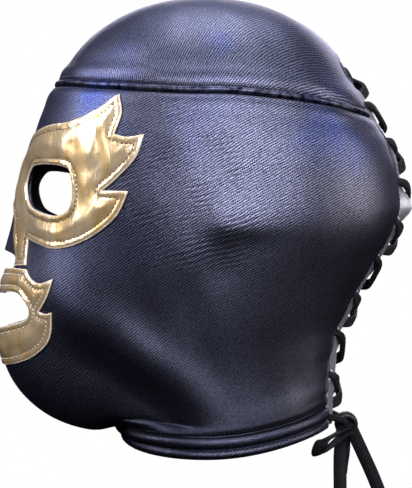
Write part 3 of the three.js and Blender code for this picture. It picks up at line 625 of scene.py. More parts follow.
def satin():
    material, tree = new_material("polyester_satin")
    u, v, _ = add(tree, "SeparateXYZ", add(tree, "UVMap", uv_map="cloth"), out=ALL)
    u = add(tree, "Math.ABSOLUTE", u)
    spot = add(tree, "TexCoord", out="Object")
    x, y, z = add(tree, "SeparateXYZ", spot, out=ALL)
    either_side = add(tree, "CombineXYZ", add(tree, "Math.ABSOLUTE", x), y, z)
    slub = add(tree, "TexNoise", Vector=spot, Scale=900.0, Detail=2.0)
    clouds = add(tree, "TexNoise", Vector=spot, Scale=24.0, Detail=3.0, Roughness=0.55)
    weave = weave_of(tree, u, v, spot)
    ticks = add(tree, "MapRange", add(
        tree, "Math.MULTIPLY", add(tree, "Math.ADD", weave, 0.5), slub), 0.0, 0.78)
    # Painted shade: the satin is painted darker where the "seam" attribute is small, near a fold's
    # bottom.
    painted_fold_shade = add(tree, "MapRange", add(tree, "Attribute", attribute_name="seam", out="Fac"),
               *PAINTED_FOLD_HEIGHTS, PAINTED_FOLD_DARKEST, 1.0)
    lining = add(tree, "Attribute", attribute_name="inside", out="Fac")
    # The gleam colour, with the painted sky reflection mixed in at its spots.
    gleam_and_painted_sky = add(tree, "Mix", painted_sky_of(tree, either_side, clouds), data_type="RGBA",
                _6=SATIN_GLEAM, _7=SATIN_PAINTED_SKY, out=2)
    lit = add(tree, "Mix", add(tree, "Math.MULTIPLY", ticks, painted_fold_shade), data_type="RGBA",
              _6=SATIN_BLACK, _7=gleam_and_painted_sky, out=2)
    base = add(tree, "Mix", lining, data_type="RGBA", _6=lit, _7=SATIN_LINING, out=2)
    rough = add(tree, "MapRange", weave, -1.0, 1.0, 0.48, 0.38)
    drag = drag_of(tree, u, v, spot, either_side, clouds)
    height = add(tree, "Math.ADD", add(tree, "Math.MULTIPLY", weave, 0.4), add(
        tree, "Math.MULTIPLY", drag, 0.65))
    raised = add(tree, "Bump", Strength=1.0, Distance=0.00011, Height=height)
    add(tree, "OutputMaterial", add(
        tree, "BsdfPrincipled", Base_Color=base, Roughness=rough, Normal=raised,
        Metallic=add(tree, "Math.SUBTRACT", 1.0, lining), Specular_Tint=SATIN_RIM))
    return material


satin_black = satin()
print("finish:", satin_black.name)

# %% [markdown]
# The gold is a polyurethane film, metallised and glued to a knit backing. The film wrinkles in
# long soft creases and is a little grained, which breaks up what it mirrors. It is cut, not
# hemmed, so its pale backing shows as a thin line at each edge. The silver strips are the same
# vinyl in grey, a little duller.

# %% Gold and silver vinyl
CREASE_SCALES = (60.0, 130.0, 45.0)  # creases in a metre, along x, y and z
GRAIN = 1400.0


def vinyl(name, film, deep, backing, roughness, metallic):
    material, tree = new_material(name)
    spot = add(tree, "TexCoord", out="Object")
    edge = add(tree, "Attribute", attribute_name="edge", out="Fac")
    back = add(tree, "Attribute", attribute_name="inside", out="Fac")
    grain = add(tree, "TexNoise", Vector=spot, Scale=GRAIN, Detail=2.0)
    crease = add(tree, "TexNoise", Vector=add(tree, "Mapping", spot, Scale=CREASE_SCALES),
                 Scale=1.0, Detail=3.0, Distortion=0.6)
    tone = add(tree, "ValToRGB", crease, stops=((0.3, deep), (0.6, film)))
    film_on = add(tree, "MapRange", add(
        tree, "Math.ADD", edge, add(tree, "Math.MULTIPLY", grain, 0.5)), 0.5, 1.1)
    base = add(tree, "Mix", film_on, data_type="RGBA", _6=backing, _7=tone, out=2)
    base = add(tree, "Mix", back, data_type="RGBA", _6=base, _7=backing, out=2)
    metal = add(tree, "Math.MULTIPLY", add(tree, "Math.MULTIPLY", film_on, metallic),
                add(tree, "Math.SUBTRACT", 1.0, back))
    rough = add(tree, "MapRange", crease, 0.3, 0.7, roughness + 0.06, roughness - 0.05)
    height = add(tree, "Math.ADD", crease, add(tree, "Math.MULTIPLY", grain, 0.06))
    raised = add(tree, "Bump", Strength=0.5, Distance=0.0015, Height=height)
    add(tree, "OutputMaterial", add(
        tree, "BsdfPrincipled", Base_Color=base, Metallic=metal, Roughness=rough, Normal=raised,
        Coat_Weight=0.25, Coat_Roughness=0.12))
    return material


gold_vinyl = vinyl("metallised_gold_vinyl", "#f9dda9", "#e2b871", "#e2cfae", 0.26, 0.72)
silver_vinyl = vinyl("metallised_silver_vinyl", "#95979c", "#7d7f85", "#d9d9de", 0.38, 0.6)
print("finishes:", gold_vinyl.name, silver_vinyl.name)

# %% [markdown]
# The lace is a flat polyester braid, matt with a slight sheen. Its strands cross in a row of
# arrows, a pattern that belongs to the lace's own length and width, so this finish reads the UV
# map of the braid. The sewing thread is a bonded nylon, whose twist breaks its colour into short
# lighter and darker lengths.

# %% Braid and thread
BRAID_PITCH = 2.6  # mm; the real strands are finer


def braid():
    material, tree = new_material("polyester_braid")
    u, v, _ = add(tree, "SeparateXYZ", add(tree, "UVMap", uv_map="cloth"), out=ALL)
    slope = add(tree, "Math.SUBTRACT", u, add(tree, "Math.ABSOLUTE", v))
    arrows, threads = (add(tree, "Math.SINE", add(
        tree, "Math.MULTIPLY", slope, count * math.pi / BRAID_PITCH)) for count in (4, 16))
    base = add(tree, "ValToRGB", arrows, stops=((0.0, "#020203"), (1.0, "#17171c")))
    height = add(tree, "Math.ADD", arrows, add(tree, "Math.MULTIPLY", threads, 0.3))
    raised = add(tree, "Bump", Strength=0.8, Distance=0.0003, Height=height)
    add(tree, "OutputMaterial", add(tree, "BsdfPrincipled", Base_Color=base, Roughness=0.55,
                                    Specular_IOR_Level=0.3, Normal=raised))
    return material


def thread(name, colour, shade):
    material, tree = new_material(name)
    spot = add(tree, "TexCoord", out="Object")
    twist = add(tree, "TexNoise", Vector=spot, Scale=2500.0, Detail=1.0)
    base = add(tree, "ValToRGB", twist, stops=((0.35, shade), (0.65, colour)))
    raised = add(tree, "Bump", Strength=0.4, Distance=0.0001, Height=twist)
    add(tree, "OutputMaterial", add(tree, "BsdfPrincipled", Base_Color=base, Roughness=0.55,
                                    Normal=raised))
    return material


lace_braid = braid()

brown_thread = thread("bonded_nylon_brown", "#3c261b", "#20130d")
pale_thread = thread("bonded_nylon_pale", "#e9e2d4", "#b9ad98")
grey_thread = thread("bonded_nylon_grey", "#6d6c80", "#35354a")
black_thread = thread("bonded_nylon_black", "#23232e", "#101016")
print("threads: 4")

# %% [markdown]
# ## The lace's free ends
# The two tails hang from the knot. They are the only free cords here, so their route comes early:
# a smooth line through a few points, counted in millimetres from the knot.

# %% Ribbons of braid
LACE_WIDTH, LACE_LOOSE, LACE_THICK = 6.0, 7.2, 2.0
RIBBON_SIDES, RIBBON_ROUND = 16, 0.75  # a section with flat faces and round edges
STRAND_LIFT, STRAND_DIP = 0.26, 0.6
back_hem = on_cloth(math.pi, 1.0)
KNOT_HALF = np.array([8.5, 6.0, 6.5])
KNOT = np.array([0, back_hem[1] + 3.0 + KNOT_HALF[1], back_hem[2] - 1.5])


def along_line(points):
    return np.concatenate([[0], np.cumsum(np.linalg.norm(np.diff(points, axis=0), axis=1))])


def smooth_line(points, spacing):
    """A cubic curve through points, with points evenly spaced along it."""
    points = np.asarray(points, float)
    knots = along_line(points)
    curves = [spline(knots, points[:, k]) for k in range(points.shape[1])]
    fine = np.stack([c(np.linspace(0, knots[-1], 600)) for c in curves], -1)
    length = along_line(fine[:, :3])
    at = np.linspace(0, length[-1], max(4, round(length[-1] / spacing)))
    return np.stack([np.interp(at, length, fine[:, k]) for k in range(fine.shape[1])], -1)


def ribbon(line, across, width, thick=LACE_THICK, closed=False):
    """Points, faces and flat places of a flat braid along a line of points in mm."""
    count, sides = len(line), RIBBON_SIDES
    length = along_line(line)[:, None]
    across = np.broadcast_to(np.asarray(across, float), line.shape)
    width = np.broadcast_to(np.asarray(width, float), count)[:, None]
    if closed:
        ahead = unit(np.roll(line, -1, axis=0) - np.roll(line, 1, axis=0))
    else:
        ahead = unit(np.gradient(line, axis=0))
    wide = unit(across - ahead * np.einsum("ij,ij->i", across, ahead)[:, None])
    flat = np.cross(ahead, wide)
    angle = np.arange(sides) * 2 * math.pi / sides
    u, v = (np.sign(c) * np.abs(c) ** RIBBON_ROUND for c in (np.cos(angle), np.sin(angle)))
    slope = length - np.abs(u) * width / 2
    strand = np.abs(np.sin(slope * 2 * math.pi / BRAID_PITCH / 2)) - STRAND_DIP
    reach_u = u * width / 2
    reach_v = v * thick / 2 + np.sign(v) * (STRAND_LIFT * strand * np.abs(v))
    points = line[:, None] + wide[:, None] * reach_u[..., None] + flat[:, None] * reach_v[..., None]
    faces = []
    for i in range(count if closed else count - 1):
        j = (i + 1) % count
        for k in range(sides):
            n = (k + 1) % sides
            faces.append((i * sides + k, i * sides + n, j * sides + n, j * sides + k))
    if not closed:
        faces.append(tuple(range(sides))[::-1])
        faces.append(tuple((count - 1) * sides + k for k in range(sides)))
    uv = np.stack([np.broadcast_to(length, reach_u.shape), reach_u], -1)
    return points.reshape(-1, 3), faces, uv.reshape(-1, 2)


def joined(parts):
    starts = np.cumsum([0] + [len(points) for points, _, _ in parts])
    faces = [tuple(i + start for i in face)
             for start, (_, part, _) in zip(starts.tolist(), parts) for face in part]
    return np.vstack([part[0] for part in parts]), faces, np.vstack([part[2] for part in parts])


def braid_piece(name, parts, nodes):
    mesh = mesh_from(name, *joined(parts), sharp=BRAID_SHARP)
    return dress(new_object(name, mesh, lace_braid), "braid", nodes)


TAILS = {  # the way across the braid, and its route
    "lace_tail_left": ([0, 1, 0.1], [
        [0.2, -2, -4], [0.4, -2.4, -8], [1, -3, -14], [2, -3.5, -22], [3, -3.5, -31],
        [3.6, -3.5, -40], [4, -3, -48]]),
    "lace_tail_right": ([0, 0.9, 0.4], [
        [2.8, 2.4, -1.6], [2.5, 4.1, -5.3], [2, 7, -11.5], [1.5, 10, -18], [1, 13, -24.5],
        [0.5, 16, -31.5], [0, 18.5, -38], [-0.5, 20.5, -44.5], [-1, 22, -51]]),
}
for name, (across, route) in TAILS.items():
    line = smooth_line(np.array(route) + KNOT, 0.45)
    tail = braid_piece("braid_" + name, [ribbon(line, across, LACE_LOOSE)], [name])

# %% [markdown]
# ## The black panels
# The crown is a cap. Its mesh runs in rings from the top, and the arched head of the slit is cut
# out of its back. The cap is one sheet of cloth, stretched over the head.

# %% Crown panel
SLIT_TOP = 31.5
SLIT_ARCH = 13.0
SEAM_OPEN = 0.5
SATIN_SPACING = 1.7
half_seam = SEAM_OPEN / 2 / LEVEL_MM


def turned_edge(distance, radius=0.8):
    """How far a rounded edge falls, at a distance from it."""
    near = 1 - np.clip(distance / radius, 0, 1)
    return radius * (1 - np.sqrt(np.maximum(1 - near ** 2, 0)))


def hemmed(gap):
    """How far a turned and stitched edge stands off, at a distance from it."""
    return 0.5 * bump(gap - 1.6, 1.2) - 0.35 * bump(gap - 4.2, 0.7) - turned_edge(gap)


def crown_flat(point):
    """The crown's pattern is flat round its top: distance down the cloth at its turn."""
    turn, level = point
    return np.stack([np.sin(turn) * level, -np.cos(turn) * level], -1) * LEVEL_MM


slit_angles = np.linspace(0, math.pi, 60)
slit_x = SLIT_HALF * np.cos(slit_angles)
slit_z = height_at(0) - SLIT_TOP - SLIT_ARCH + SLIT_ARCH * np.sin(slit_angles)


def back_turn_level(x, z):
    """Turn and level of a place on the back, from its distance to the middle and its height."""
    x, z = np.broadcast_arrays(np.asarray(x, float), np.asarray(z, float))
    level = np.full(x.shape, 0.25)
    for _ in range(12):
        turn = turn_at_back(np.abs(x), level)
        level = level_at(turn, z)
    return np.where(x < 0, -turn, turn), level


crown_edge = SEAM_LEVEL - half_seam
slit_left = float(turn_at_back(SLIT_HALF, crown_edge))
rim_turns = np.linspace(-slit_left, slit_left, 360)
rim = crown_flat((rim_turns, np.full(len(rim_turns), crown_edge)))
arch_turn, arch_level = back_turn_level(slit_x, slit_z)
arch_turn = np.where(arch_turn < 0, arch_turn + 2 * math.pi, arch_turn)
arch = crown_flat((arch_turn, np.minimum(arch_level, crown_edge)))
crown_points, crown_triangles = cut([np.vstack([rim, arch])], SATIN_SPACING)
crown_turn = np.arctan2(crown_points[:, 0], -crown_points[:, 1])
crown_level = np.maximum(np.linalg.norm(crown_points, axis=1) / LEVEL_MM, 2e-3)
arch_line = on_cloth(arch_turn, np.minimum(arch_level, crown_edge))
crown_place = on_cloth(crown_turn, crown_level)
crown_gap = edge_distance(crown_place, [arch_line])
# The "seam" numbers set the satin's painted shade: it is painted darker close to the crown seam.
crown_mesh = wall("crown_cloth", crown_points, crown_triangles,
                  skin(crown_turn, crown_level, hemmed(crown_gap)),
                  skin(crown_turn, crown_level, -CLOTH),
                  {"edge": crown_gap, "seam": (SEAM_LEVEL - crown_level) * LEVEL_MM})
dress(new_object("crown_cloth", crown_mesh, satin_black), "satin", ["crown_panel"],
      flat=(0.192, 0.192), area=0.0285)

# %% [markdown]
# Each side panel is a curved rectangle with bites out of it. It runs from the middle of the face to
# the slit, and from the crown seam to the neck band. The eye is a hole in it; the nose and the
# mouth are notches in its front edge, since the two panels meet there. Its foot is tucked a little
# way under the band, and its front edge is moved to the middle, so that no light shows through.

# %% Side panels
FOOT_TUCK, SEAM_SHUT = 1.4, 0.02  # mm
# Painted shade above the band: how slowly the painted darkening fades upward from the band.
FOOT_PAINTED_SHADE = 0.1  # the foot darkens ten times more slowly than the cloth beside a seam
top_v, foot_v = (SEAM_LEVEL + half_seam) * LEVEL_MM, BAND_LEVEL * LEVEL_MM + FOOT_TUCK
back_v = np.linspace(top_v, foot_v, 160)
back_edge = np.stack([slit_turn(back_v / LEVEL_MM) * FLAT_RADIUS, back_v], -1)
panel_outline = np.vstack([
    [[0, top_v]], nose_flat, mouth_flat, [[0, foot_v]], back_edge[::-1],
])
side_flat, side_triangles = cut([panel_outline, eye_flat], SATIN_SPACING)
openings = [on_cloth(*lay(ring)) for ring in (nose_flat, mouth_flat, np.vstack([
    eye_flat, eye_flat[:1]]), back_edge)]
for side, sign in (("left", 1), ("right", -1)):
    flat = side_flat * [sign, 1]
    turn, level = lay(flat)
    gap = edge_distance(on_cloth(turn, level), [ring * [sign, 1, 1] for ring in openings])
    # Painted shade: these numbers paint the satin darker near the crown seam and, more slowly,
    # above the band.
    seam = np.minimum(level - SEAM_LEVEL, (BAND_LEVEL - level) * FOOT_PAINTED_SHADE) * LEVEL_MM
    mesh = wall("side_cloth_" + side, flat, side_triangles, skin(turn, level, hemmed(gap)),
                skin(turn, level, -CLOTH), {"edge": gap, "seam": seam})
    co = np.array([v.co for v in mesh.vertices])
    at_front = np.tile(side_flat[:, 0] < 1e-6, 2)
    co[at_front, 0] = sign * SEAM_SHUT * MM
    mesh.vertices.foreach_set("co", co.astype(np.float32).ravel())
    dress(new_object(mesh.name, mesh, satin_black), "satin", ["side_panel_" + side],
          flat=(0.25, 0.225), area=0.042)

# %% [markdown]
# ## The gold facings
# Vinyl is laid flat on the cloth and stitched down, so it follows the cloth's relief a third of a
# millimetre above it. Between its seams it puffs up a little and creases, and the needle pulls a
# groove into it. The same distance to the edge shapes the cut edge, the groove and the puff.

# %% Eye and mouth surrounds
FACING = 1.0
STITCH_INSET = 3.4
GOLD_SPACING = 1.15
CREASES = [  # waves round the head, waves down it, phase, height in mm
    (0.31, 0.12, 0.3, 0.16), (-0.22, 0.27, 1.2, 0.15), (0.12, 0.38, 4.0, 0.10),
    (0.47, -0.21, 2.6, 0.07),
]


def creased(flat):
    height = np.zeros(len(flat))
    for along, down, phase, tall in CREASES:
        height = height + tall * np.sin(along * np.abs(flat[:, 0]) + down * flat[:, 1] + phase)
    return height


def facing(name, outline, holes, nodes, flat_size, area):
    rings = [outline, *holes]
    flat, triangles = cut(rings, GOLD_SPACING)
    turn, level = lay(flat)
    place = on_cloth(turn, level)
    lines = [on_cloth(*lay(np.vstack([ring, ring[:1]]))) for ring in rings]
    gap = edge_distance(place, lines)
    hole_gap = edge_distance(place, lines[1:])
    rise = 0.55 * smooth((gap - STITCH_INSET) / 7) - 0.5 * bump(gap - STITCH_INSET, 0.6)
    rise = rise + 0.45 * bump(hole_gap - 1.5, 1.0) - turned_edge(gap, 0.5)
    rise = rise + creased(flat) * smooth((gap - STITCH_INSET) / 5)
    outer = skin(turn, level, GAP + FACING + rise)
    inner = skin(turn, level, GAP)
    mesh = wall(name, flat, triangles, outer, inner, {"edge": gap})
    dress(new_object(name, mesh, gold_vinyl), "gold_vinyl", nodes, flat=flat_size, area=area)
    return outer, triangles, gap, cloth_normal(turn, level)


eye_outline = whole(on_flat(curve_through(EYE_FACING, False)))
mouth_outline = whole(on_flat(curve_through(MOUTH_FACING, False)))
eye_gold = facing("eye_vinyl", eye_outline, [eye_flat, mirrored(eye_flat)], ["eye_surround"],
                  (0.215, 0.092), 0.0101)
mouth_gold = facing("mouth_vinyl", mouth_outline, [whole(mouth_flat)], ["mouth_surround"],
                    (0.112, 0.056), 0.0041)

# %% [markdown]
# ## The neck band
# The band is one strip of satin folded round and stitched twice, so it stands up in two rolls, the
# upper broader than the lower. The seam puckers the rolls, which shows as small dents. In front,
# under the chin, its folds are painted darker, a painted shade.

# %% Neck band
BAND_STAND = 2.4
BAND_ROLLS = [(0.31, 0.31, 1.0), (0.81, 0.19, 0.9)]
BAND_COLUMNS, BAND_ROWS = 420, 34
BAND_PUCKER, BAND_FLAT = 0.10, 0.3  # mm
# Painted shade under the chin: how much darker the band's front is painted.
PAINTED_CHIN_SHADE = 0.45, 0.35  # the share of the height that counts in front, and what is added behind

band_share = np.linspace(-1, 1, BAND_COLUMNS)
band_down = np.linspace(0, 1, BAND_ROWS)
band_top = BAND_LEVEL + half_seam
share_grid, down_grid = np.meshgrid(band_share, band_down)
band_level = band_top + down_grid * (1 - band_top)
band_turn = share_grid * slit_turn(band_level)
band_u = band_turn * FLAT_RADIUS
stand = BAND_FLAT + 0 * down_grid
for middle, half, tall in BAND_ROLLS:
    roll = np.sqrt(np.clip(1 - ((down_grid - middle) / half) ** 2, 0, 1))
    pucker = np.sin(band_u * 1.45 + 2.2 * np.sin(band_u * 0.31)) + 0.6 * np.sin(band_u * 0.83 + 1)
    dent = BAND_PUCKER * pucker * bump(np.abs(down_grid - middle) - half * 0.75, 0.16)
    stand = np.maximum(stand, BAND_STAND * tall * roll + dent * (roll > 0))
ends = smooth((1 - np.abs(share_grid)) * math.pi * FLAT_RADIUS / 2.0)
stand = stand * (0.35 + 0.65 * ends)


def grid_triangles(rows, columns):
    corner = (np.arange(rows - 1)[:, None] * columns + np.arange(columns - 1)).ravel()
    first = np.stack([corner, corner + columns, corner + columns + 1], -1)
    second = np.stack([corner, corner + columns + 1, corner + 1], -1)
    return np.vstack([first, second])


def off_band(offset):
    points = on_cloth(band_turn, band_level)
    points = points + cloth_normal(band_turn, np.minimum(band_level, 0.999)) * offset[..., None]
    return points.reshape(-1, 3)


# Painted shade: the band's folds are painted darker in front, under the chin.
painted_chin_shade = PAINTED_CHIN_SHADE[0] + PAINTED_CHIN_SHADE[1] * smooth((np.degrees(np.abs(band_turn)) - 70) / 45)
band_flat = np.stack([band_u, band_level * LEVEL_MM], -1).reshape(-1, 2)
band_mesh = wall("neck_band_cloth", band_flat, grid_triangles(BAND_ROWS, BAND_COLUMNS),
                 off_band(stand), off_band(np.full_like(stand, -CLOTH)),
                 {"seam": (stand * painted_chin_shade).ravel()})
dress(new_object("neck_band_cloth", band_mesh, satin_black), "satin", ["neck_band"],
      flat=(0.36, 0.021), area=0.0063)

# %% [markdown]
# ## Geometry Nodes: stitches and piping
# Hundreds of stitches are one shape repeated along a line, which is what Geometry Nodes are for.
# The tree takes a line of points, spaces it evenly, and puts a small thread-shaped bead at each
# point, turned along the line and away from the cloth. Sizes are inputs with names, so the same
# tree sews every seam. The result is made a plain mesh at once.

# %% Node tree helpers
def new_tree(name, *inputs):
    tree = bpy.data.node_groups.new(name, "GeometryNodeTree")
    tree.interface.new_socket("Geometry", in_out="OUTPUT", socket_type="NodeSocketGeometry")
    for label, kind in (("Geometry", "NodeSocketGeometry"), *inputs):
        tree.interface.new_socket(label, in_out="INPUT", socket_type=kind)
    source = tree.nodes.new("NodeGroupInput").outputs
    return tree, source


def close_tree(tree, geometry, material):
    real = add(tree, "GeometryNodeRealizeInstances", geometry)
    painted = add(tree, "GeometryNodeSetMaterial", Geometry=real, Material=material)
    add(tree, "NodeGroupOutput", painted)


def grown(name, mesh, tree, **inputs):
    """Runs a tree on a mesh and returns the result as a plain object."""
    source = bpy.data.objects.new(name + "_source", mesh)
    scene.collection.objects.link(source)
    modifier = source.modifiers.new("grow", "NODES")
    modifier.node_group = tree
    sockets = {s.name: s.identifier for s in tree.interface.items_tree if s.in_out == "INPUT"}
    for label, value in inputs.items():
        modifier[sockets[label]] = value
    ready = source.evaluated_get(bpy.context.evaluated_depsgraph_get())
    made = bpy.data.meshes.new_from_object(ready)
    source.modifiers.remove(modifier)
    bpy.data.objects.remove(source)
    made.name = name
    made.shade_smooth()
    return new_object(name, made)


def line_mesh(name, lines):
    """Lines of (points, directions away from the cloth) in mm as one mesh of edges."""
    points, sides, out, start = [], [], [], 0
    for line, away in lines:
        points.append(line)
        out.append(away)
        sides += [(start + i, start + i + 1) for i in range(len(line) - 1)]
        start += len(line)
    mesh = bpy.data.meshes.new(name)
    mesh.from_pydata((np.vstack(points) * MM).tolist(), sides, [])
    mesh.attributes.new("out", "FLOAT_VECTOR", "POINT")
    mesh.attributes["out"].data.foreach_set("vector", np.vstack(out).astype(np.float32).ravel())
    return mesh


sewing, source = new_tree(
    "sewing", ("Pitch", "NodeSocketFloat"), ("Long", "NodeSocketFloat"),
    ("Wide", "NodeSocketFloat"), ("Seed", "NodeSocketInt"), ("Thread", "NodeSocketMaterial"))
seam_line = add(sewing, "GeometryNodeMeshToCurve", source["Geometry"])
spaced = add(sewing, "GeometryNodeResampleCurve", mode="LENGTH", Curve=seam_line,
             Length=source["Pitch"])
away = add(sewing, "GeometryNodeInputNamedAttribute", data_type="FLOAT_VECTOR", Name="out",
           out="Attribute")
along = add(sewing, "FunctionNodeAlignRotationToVector", axis="X",
            Vector=add(sewing, "GeometryNodeInputTangent"))
turned = add(sewing, "FunctionNodeAlignRotationToVector", axis="Z", pivot_axis="X",
             Rotation=along, Vector=away)
bead = add(sewing, "GeometryNodeMeshUVSphere", Segments=6, Rings=4, Radius=0.5)
uneven = add(sewing, "FunctionNodeRandomValue", Seed=source["Seed"], _2=0.85, _3=1.12, out=1)
size = add(sewing, "CombineXYZ", add(sewing, "Math.MULTIPLY", source["Long"], uneven),
           source["Wide"], source["Wide"])
sewn = add(sewing, "GeometryNodeInstanceOnPoints", Points=spaced, Instance=bead, Rotation=turned,
           Scale=size)
close_tree(sewing, sewn, source["Thread"])
print("tree:", sewing.name, "with", len(sewing.nodes), "nodes")

# %% [markdown]
# A seam that keeps its distance from an edge is a contour: the line on the mesh where the distance
# to the edge has one value. It is found triangle by triangle and joined into lines.

# %% Lines to sew along
def contour(points, triangles, values, at, normals):
    level = values - at
    links, places = {}, {}
    crossing = triangles[(level[triangles].min(1) < 0) & (level[triangles].max(1) >= 0)]
    for tri in crossing:
        found = []
        for i, j in ((tri[0], tri[1]), (tri[1], tri[2]), (tri[2], tri[0])):
            if (level[i] < 0) != (level[j] < 0):
                key = (min(i, j), max(i, j))
                share = level[key[0]] / (level[key[0]] - level[key[1]])
                mix = lambda a: a[key[0]] * (1 - share) + a[key[1]] * share
                places[key] = (mix(points), mix(normals))
                found.append(key)
        links.setdefault(found[0], []).append(found[1])
        links.setdefault(found[1], []).append(found[0])
    lines, left = [], set(links)
    while left:
        ends = [key for key in left if len(links[key]) == 1]
        here = min(ends or left)
        chain = [here]
        left.discard(here)
        while True:
            following = [key for key in links[here] if key in left]
            if not following:
                break
            here = following[0]
            left.discard(here)
            chain.append(here)
        if len(links[chain[-1]]) == 2 and len(chain) > 3:
            chain.append(chain[0])
        line = [np.array(part) for part in zip(*(places[key] for key in chain))]
        if along_line(line[0])[-1] > 8:
            lines.append(line)
    return lines


def level_line(level, spread=1.0, lift=0.0):
    turn = np.linspace(-spread, spread, 700) * slit_turn(level)
    return [skin(turn, level, lift), cloth_normal(turn, level)]


def sew(name, lines, pitch, long, wide, thread_used, slot_name, seed=1):
    made = grown(name, line_mesh(name, lines), sewing, Pitch=pitch * MM, Long=long * MM,
                 Wide=wide * MM, Seed=seed, Thread=thread_used)
    dress(made, slot_name)


sew("eye_vinyl_stitches", contour(*eye_gold[:3], STITCH_INSET, eye_gold[3]), 2.5, 1.75, 0.62,
    brown_thread, "gold_vinyl")
sew("mouth_vinyl_stitches", contour(*mouth_gold[:3], STITCH_INSET, mouth_gold[3]), 2.5, 1.75,
    0.55, pale_thread, "gold_vinyl", 2)
ROW = 3.6 / LEVEL_MM
sew("crown_seam_stitches", [level_line(SEAM_LEVEL - ROW), level_line(SEAM_LEVEL + ROW)], 2.3, 1.5,
    0.5, grey_thread, "satin", 3)
band_groove = BAND_LEVEL + 0.635 * (1 - BAND_LEVEL)
turn = np.linspace(-0.995, 0.995, 900) * slit_turn(band_groove)
groove_line = on_cloth(turn, band_groove) + cloth_normal(turn, band_groove) * 0.5
sew("band_stitches", [level_line(BAND_LEVEL - 2.8 / LEVEL_MM, 0.99),
                      [groove_line, cloth_normal(turn, band_groove)]], 2.4, 1.6, 0.5,
    black_thread, "satin", 4)

# %% [markdown]
# The piping is a cord sewn into the crown seam. Its shape follows a rule, a round section drawn
# along the seam, so a second tree makes it, with a little unevenness from the sewing.

# %% Crown piping
# The second number only sets how dark the cord is painted, a painted shade.
PIPING_RADIUS, PIPING_SHADE_HEIGHT = 1.75, 1.5  # the cord, and how deep it lies for the shading
piping, source = new_tree(
    "piping", ("Radius", "NodeSocketFloat"), ("Uneven", "NodeSocketFloat"),
    ("Cloth", "NodeSocketMaterial"))
run = add(piping, "GeometryNodeMeshToCurve", source["Geometry"])
section = add(piping, "GeometryNodeCurvePrimitiveCircle", Radius=source["Radius"], Resolution=14)
swept = add(piping, "GeometryNodeCurveToMesh", Curve=run, Profile_Curve=section, Fill_Caps=True)
swell = add(piping, "Math.MULTIPLY", add(piping, "Math.SUBTRACT", add(
    piping, "TexNoise", Scale=160.0, Detail=1.0), 0.5), source["Uneven"])
outwards = add(piping, "VectorMath.SCALE", add(piping, "GeometryNodeInputNormal"), Scale=swell)
moved = add(piping, "GeometryNodeSetPosition", Geometry=swept, Offset=outwards)
close_tree(piping, moved, source["Cloth"])
piping_line = level_line(SEAM_LEVEL, 0.995, 1.35)
piping_piece = grown("crown_piping_cord", line_mesh("piping_line", [piping_line]), piping,
                     Radius=PIPING_RADIUS * MM, Uneven=0.12 * MM, Cloth=satin_black)
# Painted shade: the cord is painted as dark as satin this many millimetres above a fold's bottom.
keep_values(piping_piece.data, {"seam": np.full(len(piping_piece.data.vertices), PIPING_SHADE_HEIGHT)})
dress(piping_piece, "satin", ["crown_piping"])

# %% [markdown]
# ## The lacing strips
# Two strips of silver vinyl are sewn under the edges of the slit and punched with ten holes each.
# The lace lifts their free edges out of the hood, and the left one gapes under its fourth hole.

# %% Lacing strips
STRIP_WIDTH, STRIP_TUCK, STRIP_THICK = 16.0, 5.0, 1.2
STRIP_LIFT, STRIP_DEPTH, STRIP_BEND = 0.7, 0.9, 1.0
FLARE_LIFT, FLARE_LENGTH = 5.5, 6.5
HOLE_PAIRS, HOLE_FIRST, HOLE_LAST = 10, 8.0, 5.2
HOLE_RADIUS, HOLE_INSET = 2.3, 5.5
back_levels = np.linspace(0.18, 1, 1201)
back_line = on_cloth(math.pi, back_levels)
back_run = along_line(back_line)
strip_start = float(np.interp(SLIT_TOP + 1 - CLOTH, -back_line[:, 2], back_run))
back_length = back_run[-1] - strip_start
strip_free = SLIT_HALF + STRIP_TUCK - STRIP_WIDTH
hole_x = strip_free + HOLE_INSET
hole_pitch = (back_length - HOLE_FIRST - HOLE_LAST) / (HOLE_PAIRS - 1)
flare_at = HOLE_FIRST + 3 * hole_pitch + 13.5
tucked = -(CLOTH + STRIP_DEPTH + STRIP_THICK / 2)


def strip_offset(x, distance):
    bend = SLIT_HALF - STRIP_BEND
    out = np.clip((bend - np.abs(x)) / (bend - strip_free), 0, 1)
    opened = smooth((distance - SLIT_ARCH) / SLIT_ARCH)
    flare = np.exp(-((distance - flare_at) / FLARE_LENGTH) ** 2) * out ** 2
    return tucked + (STRIP_LIFT - tucked) * out * opened + np.where(x > 0, FLARE_LIFT * flare, 0)


def at_back(x, distance, offset):
    x, distance, offset = np.broadcast_arrays(*(np.asarray(a, float) for a in (
        x, distance, offset)))
    level = np.minimum(np.interp(distance + strip_start, back_run, back_levels), 0.999)
    turn = turn_at_back(np.abs(x), level)
    point = on_cloth(turn, level) + cloth_normal(turn, level) * offset[..., None]
    point[..., 0] = np.where(x < 0, -point[..., 0], point[..., 0])
    return point


def circle(x, y, radius, count=28):
    angle = np.arange(count) * 2 * math.pi / count
    return np.stack([x + radius * np.cos(angle), y + radius * np.sin(angle)], -1)


